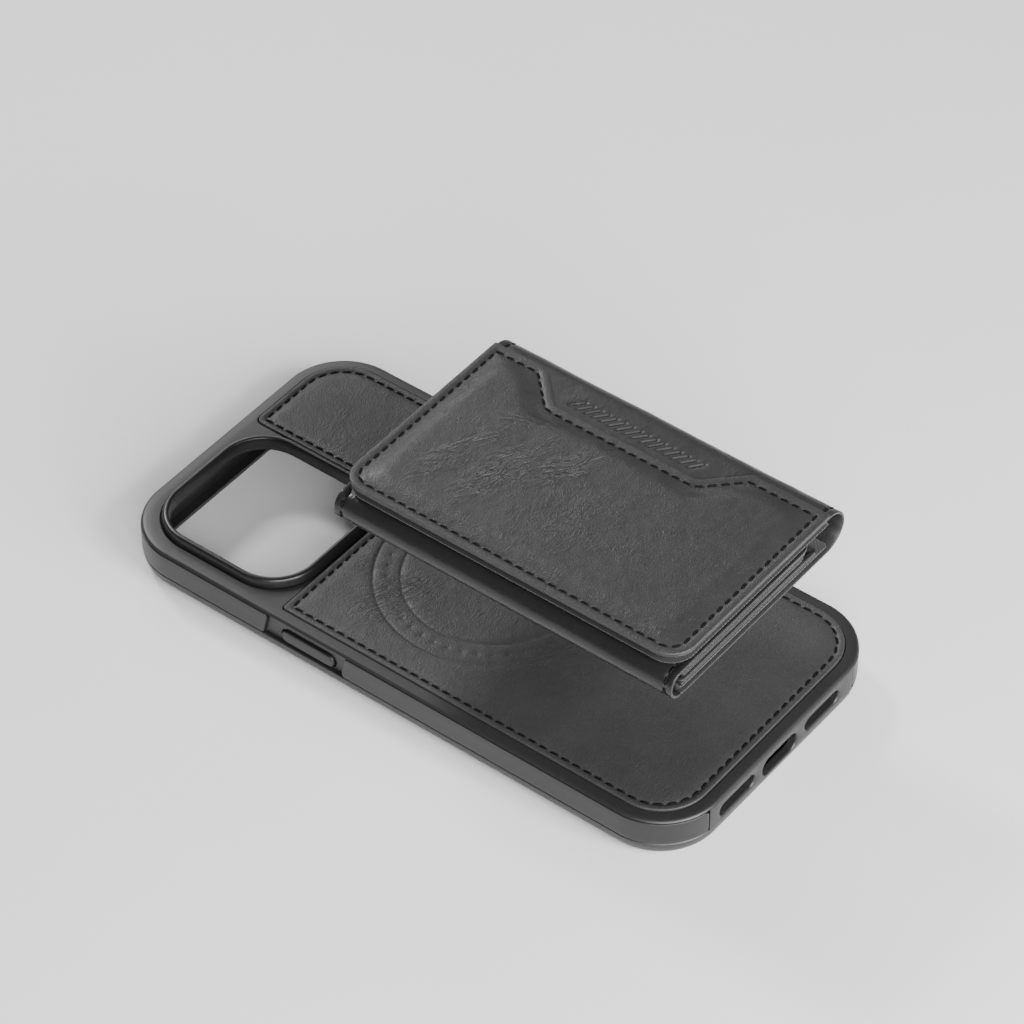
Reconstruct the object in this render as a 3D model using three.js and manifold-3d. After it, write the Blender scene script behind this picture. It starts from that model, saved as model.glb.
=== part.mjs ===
// Phone case with a detachable tri-fold card wallet, in millimetres, +Z up.
// The case lies on the lip of its open front, so its leather back faces up, and the
// wallet floats above the back, on the line along which its magnets meet the case.
// +X runs along the case towards the charging port; the camera window is at -X, -Y.

import * as THREE from 'three';
import { mergeVertices } from 'three/addons/utils/BufferGeometryUtils.js';
import Module from 'manifold-3d';

const wasm = await Module();
wasm.setup();

// ---------------------------------------------------------------- driving dimensions

const PHONE_LENGTH = 159.9;
const PHONE_WIDTH = 76.7;
const PHONE_THICKNESS = 8.25;
const PHONE_CLEARANCE = 0.3;
const CAVITY_CORNER = 14.2;

const END_WALL = 2.05;
const SIDE_WALL = 2.55;
const OUTER_CORNER = 16;
const LIP_THICKNESS = 1.3;
const LIP_INSET = 4.4;

const LINING_THICKNESS = 0.35;
const PLATE_THICKNESS = 1.0;
const SKIN_THICKNESS = 0.6;
const LEATHER_THICKNESS = 1.1;
const RIM_INSET = 3.4;

const LAYER_GAP = 0.05;
const PIECE_GAP = 0.15;

// The wallet's ring is the smaller one, so that it fits between the folds.
const CASE_RING = { inner: 22.7, outer: 28.3 };
const WALLET_RING = { inner: 20.8, outer: 26.0 };
const MAGNET_THICKNESS = 0.5;
const ALIGNMENT_MAGNET = { start: 34, length: 17, width: 5.5 };
const MAGNET_GAP = 0.3;
const MAGNET_DEPTH_GAP = 0.05;

const WALLET_LENGTH = 94.5;
const WALLET_CENTRE_X = 26.75;
const WALLET_BOTTOM = 44;
const WALLET_FOLD_Y = -33;
const WALLET_SPINE_Y = 33;
const INNER_FLAP_TOP = 51.8;
const WALLET_TOP = 56;
const FOLD_THICKNESS = 0.9;
const WALLET_RING_X = 10.75;

// ---------------------------------------------------------------- derived case sizes

const CAVITY_X = PHONE_LENGTH / 2 + PHONE_CLEARANCE;
const CAVITY_Y = PHONE_WIDTH / 2 + PHONE_CLEARANCE;
const OUTER_X = CAVITY_X + END_WALL;
const OUTER_Y = CAVITY_Y + SIDE_WALL;
const CAVITY_TOP = LIP_THICKNESS + PHONE_THICKNESS + 0.45;
const LINING_BOTTOM = CAVITY_TOP + LAYER_GAP;
const PLATE_BOTTOM = LINING_BOTTOM + LINING_THICKNESS + LAYER_GAP;
const PLATE_TOP = PLATE_BOTTOM + PLATE_THICKNESS;
const SKIN_BOTTOM = PLATE_TOP + LAYER_GAP;
const FRAME_TOP = SKIN_BOTTOM + SKIN_THICKNESS;
const LEATHER_TOP = SKIN_BOTTOM + LEATHER_THICKNESS;

// Reach of the cutting shapes beyond the case.
const FAR_BELOW = -5;
const FAR_ABOVE = 30;
const FAR_OUT = 5;

// Straight steps to each rounded corner or circle.
const CASE_STEPS = 5;
const OUTSIDE_STEPS = 10;
const BEZEL_STEPS = 8;
const RING_STEPS = 24;
const DISC_STEPS = 8;
const WALLET_STEPS = 3;

// Camera window: a rounded rectangle, and the raised bezel round it.
const WINDOW = { x0: -76, y0: -34.9, x1: -35.7, y1: 4.6, r: 11 };
const BEZEL_BASE = 1.9;
const BEZEL_HEIGHT = 2.75;
const BEZEL_GAP = 0.2;

// The leather leaves the camera corner bare: it starts at these two edges.
const LEATHER_START_X = -33;
const LEATHER_START_Y = 7.3;

// Side bands: the groove in the frame that holds the inlays and the button bays.
const GROOVE_DEPTH = 1.0;
const GROOVE_LOW = 4.6;
const GROOVE_HIGH = 11.3;
const GROOVE_END_Y = 27.8;
const BAY_SLANT = 1.3;
const NEAR_BAY = [-36.1, -13.3];
const FAR_BAY = [-50.6, -8.4];

const BUTTON_Z = 7.0;
const BUTTON_HEIGHT = 3.5;
const BUTTON_GAP = 0.3;
const BUTTON_DEPTH = 0.3;
const BUTTONS = [
  { name: 'power_button_cover', x: -23.2, length: 15.6, side: -1 },
  { name: 'volume_down_cover', x: -16.0, length: 10.6, side: 1 },
  { name: 'volume_up_cover', x: -29.6, length: 10.6, side: 1 },
  { name: 'action_button_cover', x: -42.6, length: 7.0, side: 1 },
];

const PORT_Y = -1;
const PORT = { width: 13.4, low: 4.3, high: 9.3 };
const SPEAKER = { width: 13.4, low: 5.6, high: 9.3, offset: 16.5 };

// ---------------------------------------------------------------- geometry helpers

function toSolid(geometry) {
  const bare = geometry.clone();
  bare.deleteAttribute('normal');
  bare.deleteAttribute('uv');
  const merged = mergeVertices(bare, 1e-4);
  return new wasm.Manifold(new wasm.Mesh({
    numProp: 3,
    vertProperties: new Float32Array(merged.attributes.position.array),
    triVerts: new Uint32Array(merged.index.array),
  }));
}

function toGeometry(solid) {
  const mesh = solid.getMesh();
  const geometry = new THREE.BufferGeometry();
  geometry.setAttribute('position', new THREE.BufferAttribute(mesh.vertProperties, 3));
  geometry.setIndex(new THREE.BufferAttribute(mesh.triVerts, 1));
  geometry.computeVertexNormals();
  return geometry;
}

function roundedRect(x0, y0, x1, y1, r) {
  const shape = new THREE.Shape();
  shape.moveTo(x0 + r, y0);
  shape.lineTo(x1 - r, y0);
  shape.absarc(x1 - r, y0 + r, r, -Math.PI / 2, 0, false);
  shape.lineTo(x1, y1 - r);
  shape.absarc(x1 - r, y1 - r, r, 0, Math.PI / 2, false);
  shape.lineTo(x0 + r, y1);
  shape.absarc(x0 + r, y1 - r, r, Math.PI / 2, Math.PI, false);
  shape.lineTo(x0, y0 + r);
  shape.absarc(x0 + r, y0 + r, r, Math.PI, 1.5 * Math.PI, false);
  return shape;
}

function centredRect(halfX, halfY, r) {
  return roundedRect(-halfX, -halfY, halfX, halfY, r);
}

function grownWindow(offset) {
  const { x0, y0, x1, y1, r } = WINDOW;
  return roundedRect(x0 - offset, y0 - offset, x1 + offset, y1 + offset, r + offset);
}

// A straight prism of a shape between two heights.
function prism(shape, low, high, curveSegments = 4) {
  const options = { depth: high - low, bevelEnabled: false, curveSegments };
  const geometry = new THREE.ExtrudeGeometry(shape, options);
  return toSolid(geometry.translate(0, 0, low));
}

function box(x0, y0, z0, x1, y1, z1) {
  const geometry = new THREE.BoxGeometry(x1 - x0, y1 - y0, z1 - z0);
  return toSolid(geometry.translate((x0 + x1) / 2, (y0 + y1) / 2, (z0 + z1) / 2));
}

// A shape drawn in Y and Z, run along X from x0 to x1.
function alongX(shape, x0, x1, curveSegments = 4) {
  const options = { depth: x1 - x0, bevelEnabled: false, curveSegments };
  const geometry = new THREE.ExtrudeGeometry(shape, options);
  geometry.rotateX(Math.PI / 2).rotateZ(Math.PI / 2);
  return toSolid(geometry.translate(x0, 0, 0));
}

// A shape drawn in X and Z, run along Y from y0 to y1.
function alongY(shape, y0, y1, curveSegments = 3) {
  const options = { depth: y1 - y0, bevelEnabled: false, curveSegments };
  const geometry = new THREE.ExtrudeGeometry(shape, options);
  geometry.rotateX(Math.PI / 2);
  return toSolid(geometry.translate(0, y1, 0));
}

function pill(centre, middle, length, height) {
  const r = height / 2;
  return roundedRect(centre - length / 2, middle - r, centre + length / 2, middle + r, r - 0.001);
}

// A closed skin through rounded rectangles: each level is [inset, z] of the full outline.
function loft(levels, outline, cornerSegments) {
  const rings = levels.map(([inset, z]) => ringPoints(outline, inset, z, cornerSegments));
  const count = rings[0].length;
  const points = rings.flat();
  const faces = [];
  for (let level = 0; level + 1 < rings.length; level++) {
    for (let i = 0; i < count; i++) {
      const a = level * count + i;
      const b = level * count + (i + 1) % count;
      faces.push(a, b, b + count, a, b + count, a + count);
    }
  }
  addCap(points, faces, 0, count, false);
  addCap(points, faces, (rings.length - 1) * count, count, true);
  const geometry = new THREE.BufferGeometry().setFromPoints(points);
  geometry.setIndex(faces);
  return toSolid(geometry);
}

function ringPoints({ x0, y0, x1, y1, r }, inset, z, cornerSegments) {
  const corner = r - inset;
  const centres = [[x1 - r, y0 + r], [x1 - r, y1 - r], [x0 + r, y1 - r], [x0 + r, y0 + r]];
  const points = [];
  centres.forEach(([cx, cy], quarter) => {
    for (let i = 0; i <= cornerSegments; i++) {
      const angle = (quarter - 1 + i / cornerSegments) * Math.PI / 2;
      points.push(new THREE.Vector3(cx + corner * Math.cos(angle), cy + corner * Math.sin(angle), z));
    }
  });
  return points;
}

function addCap(points, faces, first, count, facesUp) {
  const centre = new THREE.Vector3();
  for (let i = 0; i < count; i++) {
    centre.addScaledVector(points[first + i], 1 / count);
  }
  const hub = points.push(centre) - 1;
  for (let i = 0; i < count; i++) {
    const a = first + i;
    const b = first + (i + 1) % count;
    if (facesUp) {
      faces.push(hub, a, b);
    } else {
      faces.push(hub, b, a);
    }
  }
}

function annulus(cx, cy, inner, outer) {
  const shape = new THREE.Shape();
  shape.absarc(cx, cy, outer, 0, 2 * Math.PI, false);
  const hole = new THREE.Path();
  hole.absarc(cx, cy, inner, 0, 2 * Math.PI, true);
  shape.holes.push(hole);
  return shape;
}

function disc(cx, cy, r) {
  const shape = new THREE.Shape();
  shape.absarc(cx, cy, r, 0, 2 * Math.PI, false);
  return shape;
}

const part = new THREE.Group();

function add(name, solid, colour, roughness, metalness = 0) {
  const material = new THREE.MeshStandardMaterial({ color: colour, roughness, metalness });
  const mesh = new THREE.Mesh(toGeometry(solid), material);
  mesh.name = name;
  part.add(mesh);
}

const LEATHER = 0x323232;
const LINING = 0x2b2b2b;
const BOARD = 0x6d6256;
const RUBBER = 0x3c3c3c;
const MAGNET = 0x9a9a9c;

// ---------------------------------------------------------------- the case

// Outside of the frame: an elliptical turn under the sides, upright walls, a tight
// shoulder, and a shallow slope up to the edge of the leather.
function frameProfile() {
  const levels = [];
  const turnInset = 3.2;
  const turnHeight = 5.4;
  for (let i = 0; i <= 5; i++) {
    const t = (i / 5) * Math.PI / 2;
    levels.push([turnInset * (1 - Math.sin(t)), turnHeight * (1 - Math.cos(t))]);
  }
  const shoulder = 1.05;
  for (let i = 0; i <= 4; i++) {
    const t = (i / 4) * 1.3;
    levels.push([shoulder * (1 - Math.cos(t)), FRAME_TOP - 1.2 + shoulder * Math.sin(t)]);
  }
  levels.push([RIM_INSET - 0.4, FRAME_TOP]);
  return levels;
}

const CASE_OUTLINE = { x0: -OUTER_X, y0: -OUTER_Y, x1: OUTER_X, y1: OUTER_Y, r: OUTER_CORNER };
const frameBlock = loft(frameProfile(), CASE_OUTLINE, OUTSIDE_STEPS);

// The leather's outline: the back's rounded rectangle without the camera corner.
function leatherOutline(shrink) {
  const x1 = OUTER_X - RIM_INSET - shrink;
  const y1 = OUTER_Y - RIM_INSET - shrink;
  const r = OUTER_CORNER - RIM_INSET - shrink;
  const startX = LEATHER_START_X + shrink;
  const startY = LEATHER_START_Y + shrink;
  const small = 2;
  const shape = new THREE.Shape();
  shape.moveTo(startX + 0.8, -y1);
  shape.lineTo(x1 - r, -y1);
  shape.absarc(x1 - r, -y1 + r, r, -Math.PI / 2, 0, false);
  shape.absarc(x1 - r, y1 - r, r, 0, Math.PI / 2, false);
  shape.absarc(-x1 + r, y1 - r, r, Math.PI / 2, Math.PI, false);
  shape.absarc(-x1 + small, startY + small, small, Math.PI, 1.5 * Math.PI, false);
  shape.absarc(startX - small, startY - small, small, Math.PI / 2, 0, true);
  shape.absarc(startX + 0.8, -y1 + 0.8, 0.8, Math.PI, 1.5 * Math.PI, false);
  return shape;
}

function outerRect(inset) {
  return centredRect(OUTER_X - inset, OUTER_Y - inset, OUTER_CORNER - inset);
}

// Everything further out than a depth below the side walls, between two heights.
function sideBand(depth, low, high) {
  const core = prism(outerRect(depth), FAR_BELOW, FAR_ABOVE, CASE_STEPS);
  const slab = box(-OUTER_X - 1, -OUTER_Y - 1, low, OUTER_X + 1, OUTER_Y + 1, high);
  return slab.subtract(core);
}

function sideRegion(side, gap) {
  const reach = OUTER_Y + FAR_OUT;
  const start = GROOVE_END_Y + gap;
  const y0 = side < 0 ? -reach : start;
  const y1 = side < 0 ? -start : reach;
  return box(-OUTER_X - FAR_OUT, y0, FAR_BELOW, OUTER_X + FAR_OUT, y1, FAR_ABOVE);
}

// A bay between two slanted edges, as a slab across the case.
function bayRegion([start, end], side) {
  const rise = GROOVE_HIGH - GROOVE_LOW;
  const lean = BAY_SLANT / rise;
  const shape = new THREE.Shape();
  const below = GROOVE_LOW - FAR_BELOW;
  const above = FAR_ABOVE - GROOVE_LOW;
  shape.moveTo(start - lean * below, FAR_BELOW);
  shape.lineTo(end - lean * below, FAR_BELOW);
  shape.lineTo(end + lean * above, FAR_ABOVE);
  shape.lineTo(start + lean * above, FAR_ABOVE);
  const y0 = side < 0 ? -OUTER_Y - FAR_OUT : 0;
  const y1 = side < 0 ? 0 : OUTER_Y + FAR_OUT;
  return alongY(shape, y0, y1);
}

// A button cover: a stem that shows, and a wider flange behind it inside the wall.
function buttonSolid({ x, length, side }, grow, outerDepth, flangeDepth, innerDepth) {
  const at = (depth) => side * (OUTER_Y - depth);
  const stem = pill(x, BUTTON_Z, length + 2 * grow, BUTTON_HEIGHT + 2 * grow);
  const flangeHeight = BUTTON_HEIGHT + 1.2;
  const flange = pill(x, BUTTON_Z, length + 1.6 + 2 * grow, flangeHeight + 2 * grow);
  const span = (a, b) => [Math.min(at(a), at(b)), Math.max(at(a), at(b))];
  const outer = alongY(stem, ...span(outerDepth, flangeDepth));
  const inner = alongY(flange, ...span(flangeDepth - 0.001, innerDepth));
  return outer.add(inner);
}

function portCut({ width, low, high }, y) {
  return alongX(pill(y, (low + high) / 2, width, high - low), CAVITY_X - 6, OUTER_X + FAR_OUT);
}

function makeFrame() {
  let frame = frameBlock;
  const cuts = [
    prism(centredRect(CAVITY_X, CAVITY_Y, CAVITY_CORNER), LIP_THICKNESS, SKIN_BOTTOM, CASE_STEPS),
    prism(outerRect(LIP_INSET), FAR_BELOW, LIP_THICKNESS + 1, CASE_STEPS),
    prism(leatherOutline(-PIECE_GAP), SKIN_BOTTOM - 1, FAR_ABOVE, CASE_STEPS),
    prism(grownWindow(BEZEL_BASE + BEZEL_GAP), SKIN_BOTTOM - 1, FAR_ABOVE, CASE_STEPS),
    portCut(PORT, PORT_Y),
    portCut(SPEAKER, PORT_Y - SPEAKER.offset),
    portCut(SPEAKER, PORT_Y + SPEAKER.offset),
  ];
  const band = sideBand(GROOVE_DEPTH, GROOVE_LOW, GROOVE_HIGH);
  for (const side of [-1, 1]) {
    cuts.push(band.intersect(sideRegion(side, 0)));
  }
  for (const button of BUTTONS) {
    cuts.push(buttonSolid(button, BUTTON_GAP, -1, GROOVE_DEPTH + 0.4, SIDE_WALL + 1));
  }
  for (const cut of cuts) {
    frame = frame.subtract(cut);
  }
  return frame;
}

add('bumper_frame', makeFrame(), RUBBER, 0.55);

// The plate and the lining lie inside the cavity with a little room round them.
const PLATE_GAP = 0.3;
const plateShape = centredRect(
  CAVITY_X - PLATE_GAP, CAVITY_Y - PLATE_GAP, CAVITY_CORNER - PLATE_GAP,
);

function alignmentShape(cx, grow) {
  const { start, length, width } = ALIGNMENT_MAGNET;
  const half = width / 2 + grow;
  return roundedRect(cx + start - grow, -half, cx + start + length + grow, half, 1);
}

// A plate with a shallow groove in its top for the magnets, centred on cx.
function magnetGroove(plate, { inner, outer }, cx, top) {
  const low = top - MAGNET_THICKNESS - 2 * MAGNET_DEPTH_GAP;
  const shape = annulus(cx, 0, inner - MAGNET_GAP, outer + MAGNET_GAP);
  const ring = prism(shape, low, top + 1, RING_STEPS);
  const bar = prism(alignmentShape(cx, MAGNET_GAP), low, top + 1, 2);
  return plate.subtract(ring).subtract(bar);
}

function addMagnets(prefix, { inner, outer }, cx, top) {
  const low = top - MAGNET_THICKNESS - MAGNET_DEPTH_GAP;
  const high = top - MAGNET_DEPTH_GAP;
  const ring = prism(annulus(cx, 0, inner, outer), low, high, RING_STEPS);
  add(`${prefix}_magnet_ring`, ring, MAGNET, 0.35, 0.9);
  add(`${prefix}_alignment_magnet`, prism(alignmentShape(cx, 0), low, high, 2), MAGNET, 0.35, 0.9);
}

const windowCut = prism(grownWindow(0), FAR_BELOW, FAR_ABOVE, CASE_STEPS);
const backPlate = prism(plateShape, PLATE_BOTTOM, PLATE_TOP, CASE_STEPS).subtract(windowCut);
add('back_plate', magnetGroove(backPlate, CASE_RING, 0, PLATE_TOP), 0x303032, 0.4);
addMagnets('case', CASE_RING, 0, PLATE_TOP);

const LINING_TOP = LINING_BOTTOM + LINING_THICKNESS;
const liningSolid = prism(plateShape, LINING_BOTTOM, LINING_TOP, CASE_STEPS);
add('microfibre_lining', liningSolid.subtract(windowCut), 0x3a3a3c, 0.95);

const backLeather = prism(leatherOutline(0), SKIN_BOTTOM, LEATHER_TOP, CASE_STEPS);
add('leather_back_panel', backLeather, LEATHER, 0.6);

// The raised ring that keeps the lenses clear of a table.
function makeBezel() {
  const top = SKIN_BOTTOM + BEZEL_HEIGHT;
  const levels = [
    [-BEZEL_BASE, SKIN_BOTTOM],
    [-BEZEL_BASE, FRAME_TOP],
    [-1.55, top - 0.7],
    [-1.25, top - 0.2],
    [-0.8, top],
  ];
  return loft(levels, WINDOW, BEZEL_STEPS).subtract(windowCut);
}

add('camera_window_bezel', makeBezel(), 0x161616, 0.25);

// Side inlays fill the groove on either side of the button bays.
const inlayZone = sideBand(GROOVE_DEPTH - 0.2, GROOVE_LOW + PIECE_GAP, GROOVE_HIGH - PIECE_GAP);
const inlayBand = frameBlock.intersect(inlayZone);
for (const [label, side, bay] of [['near', -1, NEAR_BAY], ['far', 1, FAR_BAY]]) {
  const strip = inlayBand.intersect(sideRegion(side, PIECE_GAP));
  const wideBay = bayRegion([bay[0] - PIECE_GAP, bay[1] + PIECE_GAP], side);
  const middle = (bay[0] + bay[1]) / 2;
  const cameraHalf = box(
    -OUTER_X - FAR_OUT, -OUTER_Y - FAR_OUT, FAR_BELOW, middle, OUTER_Y + FAR_OUT, FAR_ABOVE,
  );
  const rest = strip.subtract(wideBay);
  add(`${label}_inlay_camera_end`, rest.intersect(cameraHalf), 0x2a2a2a, 0.45);
  add(`${label}_inlay_port_end`, rest.subtract(cameraHalf), 0x2a2a2a, 0.45);
}

for (const button of BUTTONS) {
  const solid = buttonSolid(button, 0, BUTTON_DEPTH, GROOVE_DEPTH + 0.6, SIDE_WALL - 0.2);
  add(button.name, solid, 0x262626, 0.4);
}

// ---------------------------------------------------------------- the wallet

const WALLET_X0 = WALLET_CENTRE_X - WALLET_LENGTH / 2;
const WALLET_X1 = WALLET_CENTRE_X + WALLET_LENGTH / 2;
const NEAR_RADIUS = (INNER_FLAP_TOP - WALLET_BOTTOM) / 2;
const SPINE_RADIUS = (WALLET_TOP - WALLET_BOTTOM) / 2;
const NEAR_CENTRE_Y = WALLET_FOLD_Y + NEAR_RADIUS;
const SPINE_CENTRE_Y = WALLET_SPINE_Y - SPINE_RADIUS;
const SEAM_GAP = 0.1;
const BOARD_THICKNESS = 0.9;
const THIN_BOARD = 0.5;
const CLOTH_THICKNESS = 0.4;
const POCKET_THICKNESS = 0.6;
const THUMB_RADIUS = 9;

// A sheet whose near and far corners can have their own radii.
function sheetShape(inset, yNear, yFar, rNear, rFar) {
  const x0 = WALLET_X0 + inset;
  const x1 = WALLET_X1 - inset;
  const shape = new THREE.Shape();
  shape.moveTo(x0 + rNear, yNear);
  shape.absarc(x1 - rNear, yNear + rNear, rNear, -Math.PI / 2, 0, false);
  shape.absarc(x1 - rFar, yFar - rFar, rFar, 0, Math.PI / 2, false);
  shape.absarc(x0 + rFar, yFar - rFar, rFar, Math.PI / 2, Math.PI, false);
  shape.absarc(x0 + rNear, yNear + rNear, rNear, Math.PI, 1.5 * Math.PI, false);
  return shape;
}

function sheet(inset, yNear, yFar, rNear, rFar, low, thickness) {
  return prism(sheetShape(inset, yNear, yFar, rNear, rFar), low, low + thickness, WALLET_STEPS);
}

// A half tube of leather that joins a flap to the back panel.
function fold(centreY, centreZ, radius, bulge) {
  const shape = new THREE.Shape();
  const start = -Math.PI / 2;
  const inner = radius - FOLD_THICKNESS;
  shape.absarc(centreY, centreZ, radius, start, Math.PI / 2, bulge < 0);
  shape.absarc(centreY, centreZ, inner, Math.PI / 2, start, bulge > 0);
  return alongX(shape, WALLET_X0, WALLET_X1, 8);
}

// A card pocket: a leaf held off the sheet behind it by a welt on three sides.
// Its mouth faces +Y.
function pocket(yNear, yFar, leafLow, weltLow, weltHigh) {
  const inset = 0.5;
  const welt = 1.8;
  const leaf = sheet(inset, yNear, yFar, 1, 1, leafLow, POCKET_THICKNESS);
  const rim = sheet(inset, yNear, yFar, 1, 1, weltLow, weltHigh - weltLow);
  const side = inset + welt;
  const hollow = box(
    WALLET_X0 + side, yNear + welt, weltLow - 1, WALLET_X1 - side, yFar + FAR_OUT, weltHigh + 1,
  );
  const thumb = disc(WALLET_CENTRE_X, yFar, THUMB_RADIUS);
  const notch = prism(thumb, leafLow - 1, leafLow + POCKET_THICKNESS + 1, DISC_STEPS);
  return rim.subtract(hollow).add(leaf).subtract(notch);
}

// Back panel: the face that meets the case, its board with the magnets, and a pocket.
let level = WALLET_BOTTOM;
const backNear = NEAR_CENTRE_Y + SEAM_GAP;
const backFar = SPINE_CENTRE_Y - SEAM_GAP;
add('wallet_back_leather', sheet(0, backNear, backFar, 0.5, 0.5, level, FOLD_THICKNESS), LEATHER, 0.6);
level += FOLD_THICKNESS + SEAM_GAP;
const backBoard = sheet(1, backNear, backFar, 1, 1, level, BOARD_THICKNESS);
level += BOARD_THICKNESS;
const groovedBoard = magnetGroove(backBoard, WALLET_RING, WALLET_RING_X, level);
add('wallet_back_board', groovedBoard, BOARD, 0.8);
addMagnets('wallet', WALLET_RING, WALLET_RING_X, level);
level += SEAM_GAP;
add('wallet_back_lining', sheet(0.4, backNear, backFar, 1, 1, level, CLOTH_THICKNESS), LINING, 0.9);
level += CLOTH_THICKNESS + LAYER_GAP;
const backPocketLeaf = level + 0.7;
const backPocket = pocket(backNear + 0.5, backFar - 4, backPocketLeaf, level, backPocketLeaf + 0.1);
add('wallet_back_pocket', backPocket, LEATHER, 0.6);

add('near_fold', fold(NEAR_CENTRE_Y, WALLET_BOTTOM + NEAR_RADIUS, NEAR_RADIUS, -1), LEATHER, 0.5);
add('spine_fold', fold(SPINE_CENTRE_Y, WALLET_BOTTOM + SPINE_RADIUS, SPINE_RADIUS, 1), LEATHER, 0.55);

// Inner flap: hangs on the near fold and lies over the back panel.
const INNER_FREE_Y = 22;
const FREE_CORNER = 5;
const innerNear = NEAR_CENTRE_Y + SEAM_GAP;
const CLOSURE_X = [WALLET_CENTRE_X - 26, WALLET_CENTRE_X + 26];
const CLOSURE_Y = -19;
const CLOSURE_RADIUS = 4;

function closureHoles(board) {
  let pierced = board;
  for (const x of CLOSURE_X) {
    const hole = disc(x, CLOSURE_Y, CLOSURE_RADIUS + MAGNET_GAP);
    pierced = pierced.subtract(prism(hole, 0, 2 * WALLET_TOP, DISC_STEPS));
  }
  return pierced;
}

function addClosureMagnets(prefix, low, thickness) {
  CLOSURE_X.forEach((x, i) => {
    const magnet = prism(disc(x, CLOSURE_Y, CLOSURE_RADIUS), low, low + thickness, DISC_STEPS);
    add(`${prefix}_closure_magnet_${i + 1}`, magnet, MAGNET, 0.35, 0.9);
  });
}

level = INNER_FLAP_TOP - FOLD_THICKNESS;
const innerSheet = (inset, low, thickness) =>
  sheet(inset, innerNear, INNER_FREE_Y - inset, 0.8, FREE_CORNER - inset, low, thickness);
add('inner_flap_leather', innerSheet(0.3, level, FOLD_THICKNESS), LEATHER, 0.6);
level -= THIN_BOARD + SEAM_GAP;
add('inner_flap_board', closureHoles(innerSheet(1.2, level, THIN_BOARD)), BOARD, 0.8);
addClosureMagnets('inner_flap', level, THIN_BOARD);
level -= CLOTH_THICKNESS + SEAM_GAP;
add('inner_flap_lining', innerSheet(0.6, level, CLOTH_THICKNESS), LINING, 0.9);
const innerWeltHigh = level - LAYER_GAP;
const innerPocketLeaf = innerWeltHigh - 0.5 - POCKET_THICKNESS;
const innerPocketFar = INNER_FREE_Y - 4.5;
const innerPocket = pocket(
  innerNear + 1, innerPocketFar, innerPocketLeaf, innerPocketLeaf + 0.1, innerWeltHigh,
);
add('inner_flap_pocket', innerPocket, LEATHER, 0.6);

// Outer flap: hangs on the spine and closes over everything.
const OUTER_FREE_Y = -31;
const OUTER_CORNER_R = 6.5;
const outerFar = SPINE_CENTRE_Y - SEAM_GAP;
const outerSheet = (inset, far, low, thickness) =>
  sheet(inset, OUTER_FREE_Y + inset, far, OUTER_CORNER_R - inset, 0.5, low, thickness);
level = INNER_FLAP_TOP + 0.8;
add('outer_flap_lining', outerSheet(0.4, outerFar, level, CLOTH_THICKNESS), LINING, 0.9);
level += CLOTH_THICKNESS + SEAM_GAP;
add('outer_flap_board', closureHoles(outerSheet(1.4, outerFar, level, THIN_BOARD)), BOARD, 0.8);
addClosureMagnets('outer_flap', level, THIN_BOARD);
level += THIN_BOARD + SEAM_GAP;
const FOAM_THICKNESS = 0.8;
add('outer_flap_foam', outerSheet(3.6, outerFar - 3, level, FOAM_THICKNESS), 0x4a4a4c, 0.95);
level += FOAM_THICKNESS + SEAM_GAP;
const TOP_LEATHER = (WALLET_TOP - level - SEAM_GAP) / 2;
add('spine_strip', outerSheet(0.2, outerFar, level, TOP_LEATHER), LEATHER, 0.6);
level += TOP_LEATHER + SEAM_GAP;

// The main panel stops short of the spine, with an angular bay cut into its far edge.
const PANEL_FAR_Y = 25.6;
const PANEL_BAY_Y = 17.6;
const PANEL_BAY = { x0: -5.5, x1: 52.5, run: 8.6 };

function panelShape() {
  const x0 = WALLET_X0;
  const x1 = WALLET_X1;
  const r = OUTER_CORNER_R;
  const shape = new THREE.Shape();
  shape.absarc(x1 - r, OUTER_FREE_Y + r, r, -Math.PI / 2, 0, false);
  shape.lineTo(x1, PANEL_FAR_Y);
  shape.lineTo(PANEL_BAY.x1, PANEL_FAR_Y);
  shape.lineTo(PANEL_BAY.x1 - PANEL_BAY.run, PANEL_BAY_Y);
  shape.lineTo(PANEL_BAY.x0 + PANEL_BAY.run, PANEL_BAY_Y);
  shape.lineTo(PANEL_BAY.x0, PANEL_FAR_Y);
  shape.lineTo(x0, PANEL_FAR_Y);
  shape.absarc(x0 + r, OUTER_FREE_Y + r, r, Math.PI, 1.5 * Math.PI, false);
  return shape;
}

add('outer_flap_panel', prism(panelShape(), level, WALLET_TOP, WALLET_STEPS), LEATHER, 0.6);

export default part;
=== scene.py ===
"""Looks of the phone case and its detachable card wallet.

Lengths in this file are millimetres in the row frame, and become metres when a mesh is made.
Leather, cloth and inlays are sheets cut to a flat outline and then placed: flat, round a fold,
or round the side of the case. Seams are rows of separate stitches in dips of the leather.
"""

import math

import bpy
import numpy as np
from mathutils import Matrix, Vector
from mathutils.geometry import delaunay_2d_cdt
from mathutils.kdtree import KDTree


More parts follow.
